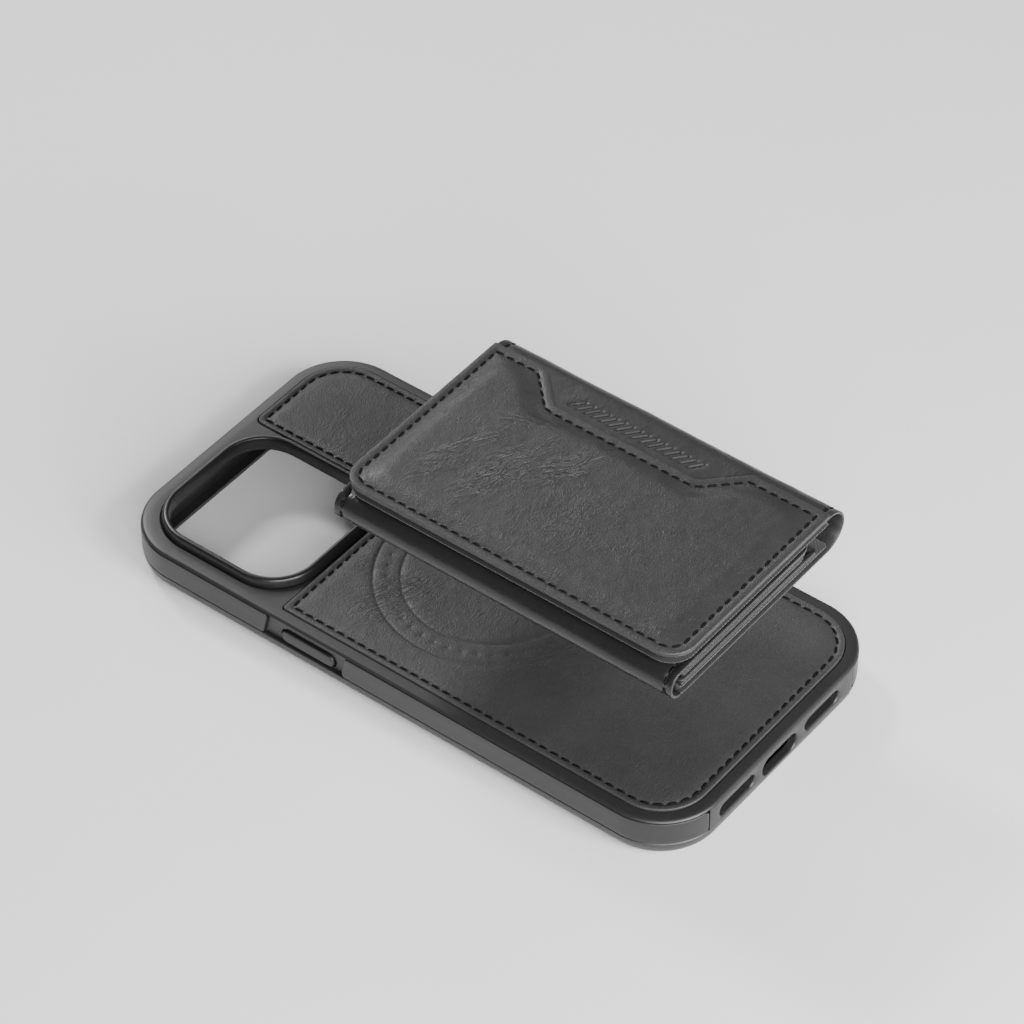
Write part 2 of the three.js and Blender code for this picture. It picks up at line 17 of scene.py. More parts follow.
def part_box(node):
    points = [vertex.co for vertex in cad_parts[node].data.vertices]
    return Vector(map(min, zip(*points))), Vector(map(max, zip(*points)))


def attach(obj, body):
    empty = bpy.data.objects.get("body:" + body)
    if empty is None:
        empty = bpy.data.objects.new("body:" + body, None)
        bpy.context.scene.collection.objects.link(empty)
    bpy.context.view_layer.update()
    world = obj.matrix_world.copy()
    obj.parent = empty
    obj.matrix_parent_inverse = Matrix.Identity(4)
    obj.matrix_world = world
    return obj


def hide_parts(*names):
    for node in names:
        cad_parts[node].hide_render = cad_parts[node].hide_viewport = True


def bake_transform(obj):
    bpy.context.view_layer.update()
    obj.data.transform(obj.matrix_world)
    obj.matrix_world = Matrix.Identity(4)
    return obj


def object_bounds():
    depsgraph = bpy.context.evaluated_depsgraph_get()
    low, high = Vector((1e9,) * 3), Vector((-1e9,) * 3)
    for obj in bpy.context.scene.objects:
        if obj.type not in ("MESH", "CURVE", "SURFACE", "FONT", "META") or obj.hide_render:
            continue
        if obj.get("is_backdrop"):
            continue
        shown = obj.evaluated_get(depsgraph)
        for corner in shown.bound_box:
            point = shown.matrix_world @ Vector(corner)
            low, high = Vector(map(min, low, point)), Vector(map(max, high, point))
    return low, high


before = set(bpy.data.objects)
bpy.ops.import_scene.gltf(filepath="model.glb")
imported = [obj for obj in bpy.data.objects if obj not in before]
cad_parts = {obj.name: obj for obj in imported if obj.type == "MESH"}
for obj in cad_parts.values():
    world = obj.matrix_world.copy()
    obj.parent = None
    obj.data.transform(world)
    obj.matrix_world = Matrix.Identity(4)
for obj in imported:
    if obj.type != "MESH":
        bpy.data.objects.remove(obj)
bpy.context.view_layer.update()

MM = 0.001


def box_mm(node):
    low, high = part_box(node)
    return np.array(low) / MM, np.array(high) / MM


# ---------------------------------------------------------------- sizes taken from the frame

OUTER_X, OUTER_Y, FRAME_TOP = box_mm("bumper_frame")[1]
leather_low, leather_high = box_mm("leather_back_panel")
LEATHER_X, LEATHER_Y, LEATHER_TOP = leather_high
SKIN_BOTTOM = leather_low[2]
bezel_low, bezel_high = box_mm("camera_window_bezel")
lining_low, lining_high = box_mm("microfibre_lining")
WALLET_BOTTOM = box_mm("wallet_back_leather")[0][2]
panel_low, panel_high = box_mm("outer_flap_panel")
spine_high = box_mm("spine_fold")[1]
roll_low, roll_high = box_mm("near_fold")
inner_high = box_mm("inner_flap_leather")[1]

# Sizes that the looks add to the frame's.
OUTER_CORNER = 16.0
RIM_INSET = OUTER_X - LEATHER_X
CAVITY_CORNER = 14.2
LIP_THICKNESS = 1.3
LIP_INSET = 4.4
BEZEL_BASE = 1.9
WINDOW_CORNER = 11.0
WINDOW_LOW = bezel_low[:2] + BEZEL_BASE
WINDOW_HIGH = bezel_high[:2] - BEZEL_BASE
LEATHER_START_X = -33.0
LEATHER_START_Y = 7.3
PIECE_GAP = 0.15
GRAIN_UV = "sheet"
UV_SPAN = 100
# point attribute that lightens colour along edges: wear and a painted edge highlight
RIM = "rim"


# ---------------------------------------------------------------- outlines in the plane


ARC_STEP = 7.0


def rounded(corners, spacing=0.8):
    """A closed outline through corners (x, y, radius), filleted, with points close together."""
    points = []
    count = len(corners)
    for i, (x, y, r) in enumerate(corners):
        here = np.array((x, y), float)
        back = np.array(corners[i - 1][:2], float) - here
        ahead = np.array(corners[(i + 1) % count][:2], float) - here
        back /= np.linalg.norm(back)
        ahead /= np.linalg.norm(ahead)
        half = math.acos(np.clip(back @ ahead, -1, 1)) / 2
        middle = (back + ahead) / np.linalg.norm(back + ahead)
        centre = here + middle * r / math.sin(half)
        start = here + back * r / math.tan(half) - centre
        left_turn = back[0] * ahead[1] - back[1] * ahead[0] < 0
        sweep = (math.pi - 2 * half) * (1 if left_turn else -1)
        steps = max(2, round(math.degrees(abs(sweep)) / ARC_STEP))
        for k in range(steps + 1):
            c, s = math.cos(sweep * k / steps), math.sin(sweep * k / steps)
            points.append(centre + (start[0] * c - start[1] * s, start[0] * s + start[1] * c))
    return filled_in(np.array(points), spacing)


def filled_in(points, spacing, closed=True):
    """The same line with points added so that none are further apart than spacing."""
    out = []
    ends = len(points) if closed else len(points) - 1
    for i in range(ends):
        a, b = points[i], points[(i + 1) % len(points)]
        pieces = max(1, math.ceil(np.linalg.norm(b - a) / spacing - 1e-6))
        if np.linalg.norm(b - a) < 1e-5:
            continue
        out += [a + (b - a) * k / pieces for k in range(pieces)]
    if not closed:
        out.append(points[-1])
    return np.array(out)


def run_length(line):
    """The length of an open line up to each of its points."""
    return np.concatenate([[0], np.cumsum(np.linalg.norm(np.diff(line, axis=0), axis=1))])


def point_on(line, run, s):
    """The point at each length s along a line whose own points are at run."""
    return np.stack([np.interp(s, run, column) for column in line.T], 1)


def size_of(vectors):
    return np.hypot(vectors[:, 0], vectors[:, 1])


def box_outline(x0, y0, x1, y1, near, far=None):
    """A rectangle with one radius at its near corners and another at its far ones."""
    far = near if far is None else far
    return rounded([(x0, y0, near), (x1, y0, near), (x1, y1, far), (x0, y1, far)])


def outward(points, closed=True):
    """Unit normals of an anticlockwise line, pointing away from its inside."""
    if closed:
        along = np.roll(points, -1, 0) - np.roll(points, 1, 0)
    else:
        along = np.gradient(points, axis=0)
    along /= np.linalg.norm(along, axis=1)[:, None]
    return np.stack([along[:, 1], -along[:, 0]], 1)


def nearest(points, targets):
    """The index of the target nearest to each point."""
    tree = KDTree(len(targets))
    for i, (x, y) in enumerate(targets):
        tree.insert((x, y, 0), i)
    tree.balance()
    return np.array([tree.find((x, y, 0))[1] for x, y in points], int)


def distance(points, line, closed=True):
    """Distance from each point to a line whose own points are close together."""
    if len(points) == 0:
        return np.zeros(0)
    last = len(line)
    at = nearest(points, line)
    best = np.full(len(points), 1e9)
    for step in (-1, 1):
        beside = (at + step) % last if closed else np.clip(at + step, 0, last - 1)
        a, ab = line[at], line[beside] - line[at]
        t = ((points - a) * ab).sum(1) / np.maximum((ab * ab).sum(1), 1e-12)
        gap = points - a - np.clip(t, 0, 1)[:, None] * ab
        best = np.minimum(best, size_of(gap))
    return best


def inside(points, outline):
    """True for each point within a closed outline."""
    x, y = points[:, 0][:, None], points[:, 1][:, None]
    x0, y0 = outline[:, 0], outline[:, 1]
    x1, y1 = np.roll(x0, -1), np.roll(y0, -1)
    rise = np.where(y1 == y0, 1e-12, y1 - y0)
    crosses = ((y0 > y) != (y1 > y)) & (x < (x1 - x0) * (y - y0) / rise + x0)
    return crosses.sum(1) % 2 == 1


INSET_KEPT = 0.985


def inset_line(outline, depth):
    """The outline moved in by depth, without the points that would cross over at corners."""
    moved = outline - outward(outline) * depth
    keep = distance(moved, outline) > depth * INSET_KEPT
    return moved[keep & inside(moved, outline)]


def dent(d, width):
    """1 at distance 0, falling smoothly to 0 at about twice the width."""
    return np.exp(-((d / width) ** 2))


def smooth(x):
    x = np.clip(x, 0, 1)
    return x * x * (3 - 2 * x)


# ---------------------------------------------------------------- smooth noise for relief


def value_noise(points, size, seed):
    """Smooth noise from -1 to 1 over the plane, with features about size across."""
    rng = np.random.default_rng(seed)
    table = rng.uniform(-1, 1, (64, 64))
    p = points / size
    cell = np.floor(p).astype(int)
    f = p - cell
    f = f * f * (3 - 2 * f)
    i, j = cell[:, 0] % 64, cell[:, 1] % 64
    i1, j1 = (i + 1) % 64, (j + 1) % 64
    low = table[i, j] * (1 - f[:, 0]) + table[i1, j] * f[:, 0]
    high = table[i, j1] * (1 - f[:, 0]) + table[i1, j1] * f[:, 0]
    return low * (1 - f[:, 1]) + high * f[:, 1]


# ---------------------------------------------------------------- meshes


def make_mesh(name, points, triangles, uv, material, sharp=50, rim=None):
    """A mesh object from points in mm, triangles and a place on the flat sheet for each corner.
    rim is 1 at an edge and 0 away from it, at each point; the looks lighten the colour there, partly
    as wear and partly as a painted highlight along the edge."""
    mesh = bpy.data.meshes.new(name)
    triangles = np.asarray(triangles, np.int32)
    mesh.vertices.add(len(points))
    mesh.vertices.foreach_set("co", (np.asarray(points) * MM).astype(np.float32).ravel())
    mesh.loops.add(triangles.size)
    mesh.loops.foreach_set("vertex_index", triangles.ravel())
    mesh.polygons.add(len(triangles))
    mesh.polygons.foreach_set("loop_start", np.arange(0, triangles.size, 3, dtype=np.int32))
    if uv is not None:
        layer = mesh.uv_layers.new(name=GRAIN_UV)
        layer.data.foreach_set("uv", (np.asarray(uv) / UV_SPAN).astype(np.float32).ravel())
    mesh.update(calc_edges=True)
    if rim is not None:
        wear = mesh.attributes.new(RIM, "FLOAT", "POINT")
        wear.data.foreach_set("value", np.asarray(rim, np.float32))
    mesh.shade_smooth()
    mesh.set_sharp_from_angle(angle=math.radians(sharp))
    mesh.materials.append(material)
    obj = bpy.data.objects.new(name, mesh)
    bpy.context.scene.collection.objects.link(obj)
    return obj


def triangulate(loops, inner):
    """Triangles over the area inside loops[0] and outside the other loops, through inner points."""
    points = np.concatenate([*loops, inner]) if len(inner) else np.concatenate(loops)
    edges = []
    first = 0
    for loop in loops:
        count = len(loop)
        edges += [(first + i, first + (i + 1) % count) for i in range(count)]
        first += count
    found = delaunay_2d_cdt([Vector(p) for p in points], edges, [], 0, 1e-5)
    source = np.array([o[0] if o else -1 for o in found[3]])
    triangles = source[np.array([f for f in found[2] if len(f) == 3])]
    triangles = triangles[(triangles >= 0).all(1)]
    middle = points[triangles].mean(1)
    keep = inside(middle, loops[0])
    for hole in loops[1:]:
        keep &= ~inside(middle, hole)
    triangles = triangles[keep]
    a, b, c = (points[triangles[:, i]] for i in range(3))
    turned = (b[:, 0] - a[:, 0]) * (c[:, 1] - a[:, 1]) - (b[:, 1] - a[:, 1]) * (c[:, 0] - a[:, 0])
    triangles[turned < 0] = triangles[turned < 0][:, ::-1]
    return points, triangles


ROW_STEP = 0.866


def lattice(outline, spacing, clear, holes=()):
    """Points of a triangular lattice inside the outline, at least clear away from its edge."""
    low, high = outline.min(0), outline.max(0)
    rows = np.arange(low[1], high[1], spacing * ROW_STEP)
    points = []
    for k, y in enumerate(rows):
        xs = np.arange(low[0] + spacing * 0.5 * (k % 2), high[0], spacing)
        points.append(np.stack([xs, np.full(len(xs), y)], 1))
    points = np.concatenate(points)
    points = points[inside(points, outline)]
    points = points[distance(points, outline) > clear]
    for hole in holes:
        points = points[~inside(points, hole)]
        points = points[distance(points, hole) > clear]
    return points


def thinned(fixed, loose, gap):
    """The loose points that are further than gap from every fixed one."""
    return loose[np.linalg.norm(loose - fixed[nearest(loose, fixed)], axis=1) > gap]


def edge_drop(d, radius):
    """How far a rounded edge lies below the face, at distance d in from the outline."""
    inner = np.clip(radius - d, 0, radius)
    return radius - np.sqrt(radius * radius - inner * inner)


def edge_distance(points, loops):
    """Distance to the nearest of the loops, whose own points come first and are at 0."""
    d = np.min([distance(points, loop) for loop in loops], axis=0)
    d[: sum(len(loop) for loop in loops)] = 0
    return d


def wall_faces(a, b, c, e, turn):
    """The two triangles of each quad a, e, c, b round a wall."""
    return [np.stack([a, e, c], 1)[:, turn], np.stack([a, c, b], 1)[:, turn]]


EDGE_ANGLES = (25, 45, 68, 90)
BACK_SPACING = 2.0
BACK_UV_SHIFT = 37.0


def sheet(
    name,
    outline,
    thickness,
    place,
    material,
    edge=0.3,
    back_edge=0.12,
    spacing=1.6,
    relief=None,
    features=(),
    holes=(),
    flip=False,
):
    """A sheet cut to an outline, with rounded edges. place(u, v, w) is where a point w above
    the back face goes. relief(points, d) raises the face, d being the distance to the edge."""
    loops = [outline, *holes]
    rings = [inset_line(outline, edge * (1 - math.cos(math.radians(a)))) for a in EDGE_ANGLES]
    rings += [hole + outward(hole) * edge for hole in holes]
    fixed = np.concatenate([*rings, *features])
    loose = lattice(outline, spacing, edge + spacing * 0.45, holes)
    if features:
        loose = thinned(np.concatenate(features), loose, spacing * 0.6)
    points, top = triangulate(loops, np.concatenate([fixed, loose]))
    d = edge_distance(points, loops)
    height = thickness - edge_drop(d, edge)
    if relief is not None:
        height = height + relief(points, d) * smooth(d / max(edge, 0.05))
    coarse = lattice(outline, max(spacing, BACK_SPACING), back_edge + 1.2, holes)
    back_ring = inset_line(outline, back_edge)
    back_points, back = triangulate(loops, np.concatenate([back_ring, coarse]))
    back_d = edge_distance(back_points, loops)
    back_height = edge_drop(back_d, back_edge)
    first_back = len(points)
    flat = np.concatenate([points, back_points])
    w = np.concatenate([height, back_height])
    walls, wall_uv = [], []
    first = 0
    for k, loop in enumerate(loops):
        n = len(loop)
        i = np.arange(n)
        j = (i + 1) % n
        a, b = first + i, first + j
        c, e = first_back + first + j, first_back + first + i
        turn = slice(None) if k == 0 else slice(None, None, -1)
        walls += wall_faces(a, b, c, e, turn)
        run = run_length(np.concatenate([loop, loop[:1]]))
        s0, s1 = run[:-1], run[1:]
        high, low = np.full(n, thickness - edge), np.full(n, back_edge)
        a, b = np.stack([s0, high], 1), np.stack([s1, high], 1)
        c, e = np.stack([s1, low], 1), np.stack([s0, low], 1)
        wall_uv += wall_faces(a, b, c, e, turn)
        first += n
    under = back[:, ::-1] + first_back
    triangles = np.concatenate([top, under, *walls])
    uv = np.concatenate([flat[top], flat[under] + BACK_UV_SHIFT, *wall_uv])
    if flip:
        triangles = triangles[:, ::-1]
        uv = uv[:, ::-1]
    placed = place(flat[:, 0], flat[:, 1], w)
    rim = dent(np.concatenate([d, back_d]), max(edge, 0.2))
    return make_mesh(name, placed, triangles, uv.reshape(-1, 2), material, rim=rim)


def flat_at(z):
    return lambda u, v, w: np.stack([u, v, z + w], 1)


def flat_under(z):
    """Face down: w is measured down from z."""
    return lambda u, v, w: np.stack([u, v, z - w], 1)


def facing(low, high, face_down):
    """Lays a sheet between two heights, with its face at one or the other."""
    return flat_under(high) if face_down else flat_at(low)


# ---------------------------------------------------------------- stitches


SEAM_DEPTH, SEAM_WIDTH = 0.26, 0.6
HOLE_DEPTH, HOLE_WIDTH = 0.12, 0.36
SEAM_STEP = 0.45
SEAM_OFFSETS = (-0.95, -0.5, -0.2, 0.2, 0.5, 0.95)


class Seam:
    """A row of stitches along a line on a sheet, and the dips that they pull in its leather."""

    def __init__(self, line, pitch, closed=False):
        step = filled_in(np.asarray(line, float), 0.25, closed)
        if closed:
            step = np.concatenate([step, step[:1]])
        run = run_length(step)
        self.count = max(1, round(run[-1] / pitch))
        self.pitch = run[-1] / self.count
        at = np.arange(self.count + (0 if closed else 1)) * self.pitch
        self.line = step
        self.run = run
        self.holes = self.point(at)
        self.middles = self.point((np.arange(self.count) + 0.5) * self.pitch)
        ahead = self.point((np.arange(self.count) + 0.6) * self.pitch)
        behind = self.point((np.arange(self.count) + 0.4) * self.pitch)
        heading = ahead - behind
        self.heading = heading / np.linalg.norm(heading, axis=1)[:, None]

    def point(self, s):
        return point_on(self.line, self.run, s)

    def rows(self):
        """Mesh points that let the leather dip along the seam."""
        line = self.point(np.arange(0, self.run[-1], SEAM_STEP))
        normal = outward(line, closed=False)
        return np.concatenate([line, *(line + normal * o for o in SEAM_OFFSETS)])

    def dip(self, points, depth=SEAM_DEPTH, hole=HOLE_DEPTH):
        """Height change at each point near the seam."""
        low, high = self.line.min(0) - 2, self.line.max(0) + 2
        near = ((points > low) & (points < high)).all(1)
        out = np.zeros(len(points))
        p = points[near]
        d = distance(p, self.line, closed=False)
        to_hole = size_of(p - self.holes[nearest(p, self.holes)])
        out[near] = -depth * dent(d, SEAM_WIDTH) - hole * dent(to_hole, HOLE_WIDTH)
        return out


STITCH_LENGTH = 0.8
THREAD_RADIUS = 0.28
THREAD_LIFT = -0.1
STITCH_SLANT = 5.0
THREAD_SINK = 0.04
THREAD_SIDES, THREAD_SECTIONS = 7, 9


def stitches(name, seams, place, flip=False):
    """One mesh of threads, each going down into the leather at its two ends.
    place(u, v, w) has w measured from the face of the sheet."""
    sides, sections = THREAD_SIDES, THREAD_SECTIONS
    points, triangles, uv = [], [], []
    first = 0
    lean = math.radians(STITCH_SLANT)
    for seam in seams:
        for middle, heading in zip(seam.middles, seam.heading):
            half = seam.pitch * STITCH_LENGTH / 2
            c, s = math.cos(lean), math.sin(lean)
            along = np.array((heading[0] * c - heading[1] * s, heading[0] * s + heading[1] * c))
            across = np.array((-along[1], along[0]))
            for k in range(sections):
                t = -1 + 2 * k / (sections - 1)
                thin = math.sqrt(max(0.04, 1 - t**6))
                rise = THREAD_LIFT - (THREAD_LIFT + THREAD_RADIUS * 1.6) * abs(t) ** 4
                for m in range(sides):
                    a = 2 * math.pi * m / sides
                    side = across * THREAD_RADIUS * thin * math.cos(a)
                    p = middle + along * half * t + side
                    height = rise + THREAD_RADIUS * 0.8 * thin * math.sin(a)
                    points.append((p[0], p[1], height))
                    uv.append((half * t, THREAD_RADIUS * a))
            for k in range(sections - 1):
                for m in range(sides):
                    a = first + k * sides + m
                    b = first + k * sides + (m + 1) % sides
                    triangles += [(a, b, b + sides), (a, b + sides, a + sides)]
            last = first + (sections - 1) * sides
            for m in range(1, sides - 1):
                triangles += [(first, first + m + 1, first + m), (last, last + m, last + m + 1)]
            first += sides * sections
    points, triangles, uv = np.array(points), np.array(triangles), np.array(uv)
    if flip:
        triangles = triangles[:, ::-1]
    placed = place(points[:, 0], points[:, 1], points[:, 2])
    return make_mesh(name, placed, triangles, uv[triangles].reshape(-1, 2), THREAD, sharp=80)


def flipped_stitches(name, seams, face):
    """Stitches that show on the underside of a sheet whose face is at that height."""
    return stitches(name, seams, flat_under(face + THREAD_SINK), flip=True)


# ---------------------------------------------------------------- materials


class Look:
    """A material on one Principled shader, with short names for the nodes that it needs."""

    def __init__(self, name, roughness, coords="sheet", **sockets):
        self.material = bpy.data.materials.new(name)
        self.material.use_nodes = True
        self.tree = self.material.node_tree
        self.shader = self.tree.nodes["Principled BSDF"]
        self.shader.inputs["Roughness"].default_value = roughness
        for socket, value in sockets.items():
            self.shader.inputs[socket.replace("_", " ")].default_value = value
        to_mm = self.node("ShaderNodeMapping")
        if coords == "sheet":
            source = self.node("ShaderNodeUVMap", uv_map=GRAIN_UV)
            self.tree.links.new(source.outputs["UV"], to_mm.inputs["Vector"])
            to_mm.inputs["Scale"].default_value = (UV_SPAN,) * 3
        else:
            source = self.node("ShaderNodeTexCoord")
            self.tree.links.new(source.outputs["Object"], to_mm.inputs["Vector"])
            to_mm.inputs["Scale"].default_value = (1 / MM,) * 3
        self.mm = to_mm.outputs["Vector"]

    def node(self, kind, **settings):
        node = self.tree.nodes.new(kind)
        for key, value in settings.items():
            setattr(node, key, value)
        return node

    def link(self, source, target):
        self.tree.links.new(source, target)

    def turned(self, angle, stretch, vector=None):
        """The flat sheet's coordinates, turned and then squeezed along the first axis."""
        node = self.node("ShaderNodeMapping")
        node.inputs["Rotation"].default_value = (0, 0, math.radians(angle))
        node.inputs["Scale"].default_value = (1, stretch, 1)
        self.link(vector or self.mm, node.inputs["Vector"])
        return node.outputs["Vector"]

    def noise(self, size, detail=2.0, vector=None, distortion=0.0):
        """Noise with features about size mm across, from about 0 to 1."""
        node = self.node("ShaderNodeTexNoise")
        node.inputs["Scale"].default_value = 1 / size
        node.inputs["Detail"].default_value = detail
        node.inputs["Distortion"].default_value = distortion
        self.link(vector or self.mm, node.inputs["Vector"])
        return node.outputs[0]

    def cells(self, size, vector):
        node = self.node("ShaderNodeTexVoronoi", feature="DISTANCE_TO_EDGE")
        node.inputs["Scale"].default_value = 1 / size
        self.link(vector, node.inputs["Vector"])
        return node.outputs["Distance"]

    def math(self, operation, a, b=0.5, clamp=False):
        node = self.node("ShaderNodeMath", operation=operation, use_clamp=clamp)
        for socket, value in zip(node.inputs, (a, b)):
            if isinstance(value, (int, float)):
                socket.default_value = value
            else:
                self.link(value, socket)
        return node.outputs[0]

    def plus(self, a, b, share, clamp=False):
        """a with a share of b added."""
        return self.math("ADD", a, self.math("MULTIPLY", b, share), clamp)

    def ramp(self, value, low, high, out_low=0.0, out_high=1.0):
        node = self.node("ShaderNodeMapRange", interpolation_type="SMOOTHSTEP")
        self.link(value, node.inputs["Value"])
        ends = {"From Min": low, "From Max": high, "To Min": out_low, "To Max": out_high}
        for key, number in ends.items():
            node.inputs[key].default_value = number
        return node.outputs["Result"]

    def warped(self, size, amount):
        """The coordinates pushed about by noise, so that cells and lines aren't regular."""
        noise = self.node("ShaderNodeTexNoise")
        noise.inputs["Scale"].default_value = 1 / size
        noise.inputs["Detail"].default_value = 0
        self.link(self.mm, noise.inputs["Vector"])
        centred = self.node("ShaderNodeVectorMath", operation="SUBTRACT")
        centred.inputs[1].default_value = (0.5, 0.5, 0.5)
        self.link(noise.outputs["Color"], centred.inputs[0])
        scaled = self.node("ShaderNodeVectorMath", operation="SCALE")
        scaled.inputs["Scale"].default_value = amount
        self.link(centred.outputs[0], scaled.inputs[0])
        total = self.node("ShaderNodeVectorMath", operation="ADD")
        self.link(self.mm, total.inputs[0])
        self.link(scaled.outputs[0], total.inputs[1])
        return total.outputs[0]

    def colour(self, value, dark, light):
        mix = self.node("ShaderNodeMix", data_type="RGBA")
        self.link(value, mix.inputs["Factor"])
        mix.inputs["A"].default_value = (*dark, 1)
        mix.inputs["B"].default_value = (*light, 1)
        self.link(mix.outputs["Result"], self.shader.inputs["Base Color"])

    def bumps(self, *layers):
        """Each layer is (height, depth in mm)."""
        last = None
        for height, depth in layers:
            node = self.node("ShaderNodeBump")
            node.inputs["Distance"].default_value = depth * MM
            self.link(height, node.inputs["Height"])
            if last is not None:
                self.link(last, node.inputs["Normal"])
            last = node.outputs["Normal"]
        self.link(last, self.shader.inputs["Normal"])

    def roughness(self, value, low, high):
        self.link(self.ramp(value, 0, 1, low, high), self.shader.inputs["Roughness"])

    def crease_cluster(self, x, y, angle, half_length, half_width):
        """Wavering ridges side by side along a direction, fading out to an oval edge."""
        turned = self.node("ShaderNodeMapping", vector_type="TEXTURE")
        turned.inputs["Location"].default_value = (x, y, 0)
        turned.inputs["Rotation"].default_value = (0, 0, math.radians(angle))
        self.link(self.warped(9.0, 4.0), turned.inputs["Vector"])
        oval = self.node("ShaderNodeVectorMath", operation="MULTIPLY")
        oval.inputs[1].default_value = (1 / half_length, 1 / half_width, 0)
        self.link(turned.outputs["Vector"], oval.inputs[0])
        reach = self.node("ShaderNodeVectorMath", operation="LENGTH")
        self.link(oval.outputs["Vector"], reach.inputs[0])
        mask = self.ramp(reach.outputs["Value"], 0.35, 1.0, 1.0, 0.0)
        squeezed = self.node("ShaderNodeMapping")
        squeezed.inputs["Scale"].default_value = (0.14, 1, 1)
        self.link(turned.outputs["Vector"], squeezed.inputs["Vector"])
        return self.math("MULTIPLY", self.furrows(1.15, squeezed.outputs["Vector"]), mask)

    def furrows(self, size, vector):
        """Rounded ridges with sharp valleys between them, from about 0 to 1."""
        noise = self.noise(size, 2.0, vector=vector)
        away = self.math("ABSOLUTE", self.math("SUBTRACT", noise, 0.5))
        return self.ramp(away, 0.0, 0.09)

    def rim(self):
        return self.node("ShaderNodeAttribute", attribute_name=RIM).outputs["Fac"]


def grey(level, warmth=0.0):
    return (level * (1 + warmth), level, level * (1 - warmth))


def leather_look(name, dark, light, pebble, shine, crease, clusters=(), grain_depth=0.04, wear_and_edge_highlight=0.35):
    """Pebbled leather with fine creases, lighter at its edges, partly as wear and partly as a
    painted highlight along the edge. Each cluster of deeper creases is (x, y, direction in degrees,
    half length, half width, depth) on the flat sheet; its ridges are painted lighter, as worn tips,
    and its valleys darker, as painted shade in the creases."""
    look = Look(name, shine)
    look.shader.inputs["Specular IOR Level"].default_value = 0.35
    warped = look.warped(2.2, 1.3)
    cells = look.ramp(look.cells(pebble, warped), 0.0, 0.5)
    drawn = look.noise(0.7 * pebble, 2.0, vector=look.turned(15, 0.7, warped))
    grain = look.plus(drawn, cells, 0.25)
    fine = look.noise(0.2, 3.0)
    across = look.turned(35, 0.25, warped)
    where = look.ramp(look.noise(13.0, 1.5, distortion=1.4), 0.5, 0.66)
    creases = look.math("MULTIPLY", look.furrows(1.3, across), where)
    broad = look.noise(4.5, 3.0)
    layers = [(broad, 0.12), (creases, crease), (grain, grain_depth), (fine, 0.015)]
    tone = look.math("MULTIPLY", look.noise(8.0, 4.0), 0.3)
    tone = look.plus(tone, grain, 0.4)
    for *place, depth in clusters:
        lines = look.crease_cluster(*place)
        layers.insert(1, (lines, depth))
        # crease ridges painted lighter as worn tips, crease valleys painted darker as shade in the
        # creases
        tone = look.plus(tone, lines, depth)
    look.bumps(*layers)
    # painted highlight and wear: the rim attribute lightens the colour along every edge and wall of
    # the sheet
    tone = look.plus(tone, look.rim(), wear_and_edge_highlight, clamp=True)
    look.colour(tone, dark, light)
    look.roughness(look.plus(broad, fine, 0.4), shine + 0.1, shine - 0.1)
    return look.material


def moulded_look(name, level, shine, texture=0.16, depth=0.012, rim=False):
    """Moulded plastic or rubber with a fine eroded texture and faint handling marks; with rim,
    lighter along its edges, partly as wear and partly as a painted edge highlight.
    """
    look = Look(name, shine, coords="sheet" if rim else "object")
    fine = look.noise(texture, 4.0)
    broad = look.noise(18.0, 3.0)
    scuffs = look.ramp(look.noise(1.2, 5.0, vector=look.turned(20, 0.12)), 0.62, 0.8)
    look.bumps((fine, depth), (broad, 0.05))
    tone = look.plus(look.math("MULTIPLY", broad, 0.6), scuffs, 0.25)
    # painted edge highlight and wear: the rim attribute lightens the colour along the edges
    if rim:
        tone = look.plus(tone, look.rim(), 0.5, clamp=True)
    look.colour(tone, grey(level * 0.8), grey(level * 1.35))
    look.roughness(look.plus(fine, scuffs, 0.5), shine - 0.06, shine + 0.08)
    return look.material


def cloth_look(name, level, pitch):
    """Fine woven or brushed cloth."""
    look = Look(name, 0.9)
    look.shader.inputs["Sheen Weight"].default_value = 0.35
    look.shader.inputs["Sheen Roughness"].default_value = 0.5
    twill = look.node("ShaderNodeTexWave", wave_type="BANDS", bands_direction="DIAGONAL")
    twill.inputs["Scale"].default_value = 0.314 / pitch
    twill.inputs["Distortion"].default_value = 0.6
    look.link(look.mm, twill.inputs["Vector"])
    fuzz = look.noise(0.3, 4.0)
    broad = look.noise(7.0, 2.0)
    look.bumps((twill.outputs["Fac"], 0.05), (fuzz, 0.06))
    tone = look.math("MULTIPLY", look.math("ADD", twill.outputs["Fac"], broad), 0.5)
    look.colour(tone, grey(level * 0.75), grey(level * 1.3))
    return look.material


def thread_look():
    look = Look("waxed_thread", 0.65, Specular_IOR_Level=0.15)
    twist = look.node("ShaderNodeTexWave", wave_type="BANDS", bands_direction="DIAGONAL")
    twist.inputs["Scale"].default_value = 0.9
    look.link(look.mm, twist.inputs["Vector"])
    look.bumps((twist.outputs["Fac"], 0.05))
    look.colour(twist.outputs["Fac"], grey(0.001), grey(0.003))
    return look.material


def board_look():
    look = Look("stiffener_board", 0.85, coords="object")
    fibre = look.noise(0.5, 5.0, vector=look.turned(12, 0.2))
    look.bumps((fibre, 0.05))
    look.colour(fibre, grey(0.008), grey(0.02))
    return look.material


def magnet_look():
    look = Look("nickel_plate", 0.3, coords="object", Metallic=1.0)
    brushed = look.noise(0.6, 4.0, vector=look.turned(0, 0.08))
    look.bumps((brushed, 0.01))
    look.colour(brushed, grey(0.42, 0.02), grey(0.62, 0.02))
    look.roughness(brushed, 0.24, 0.4)
    return look.material


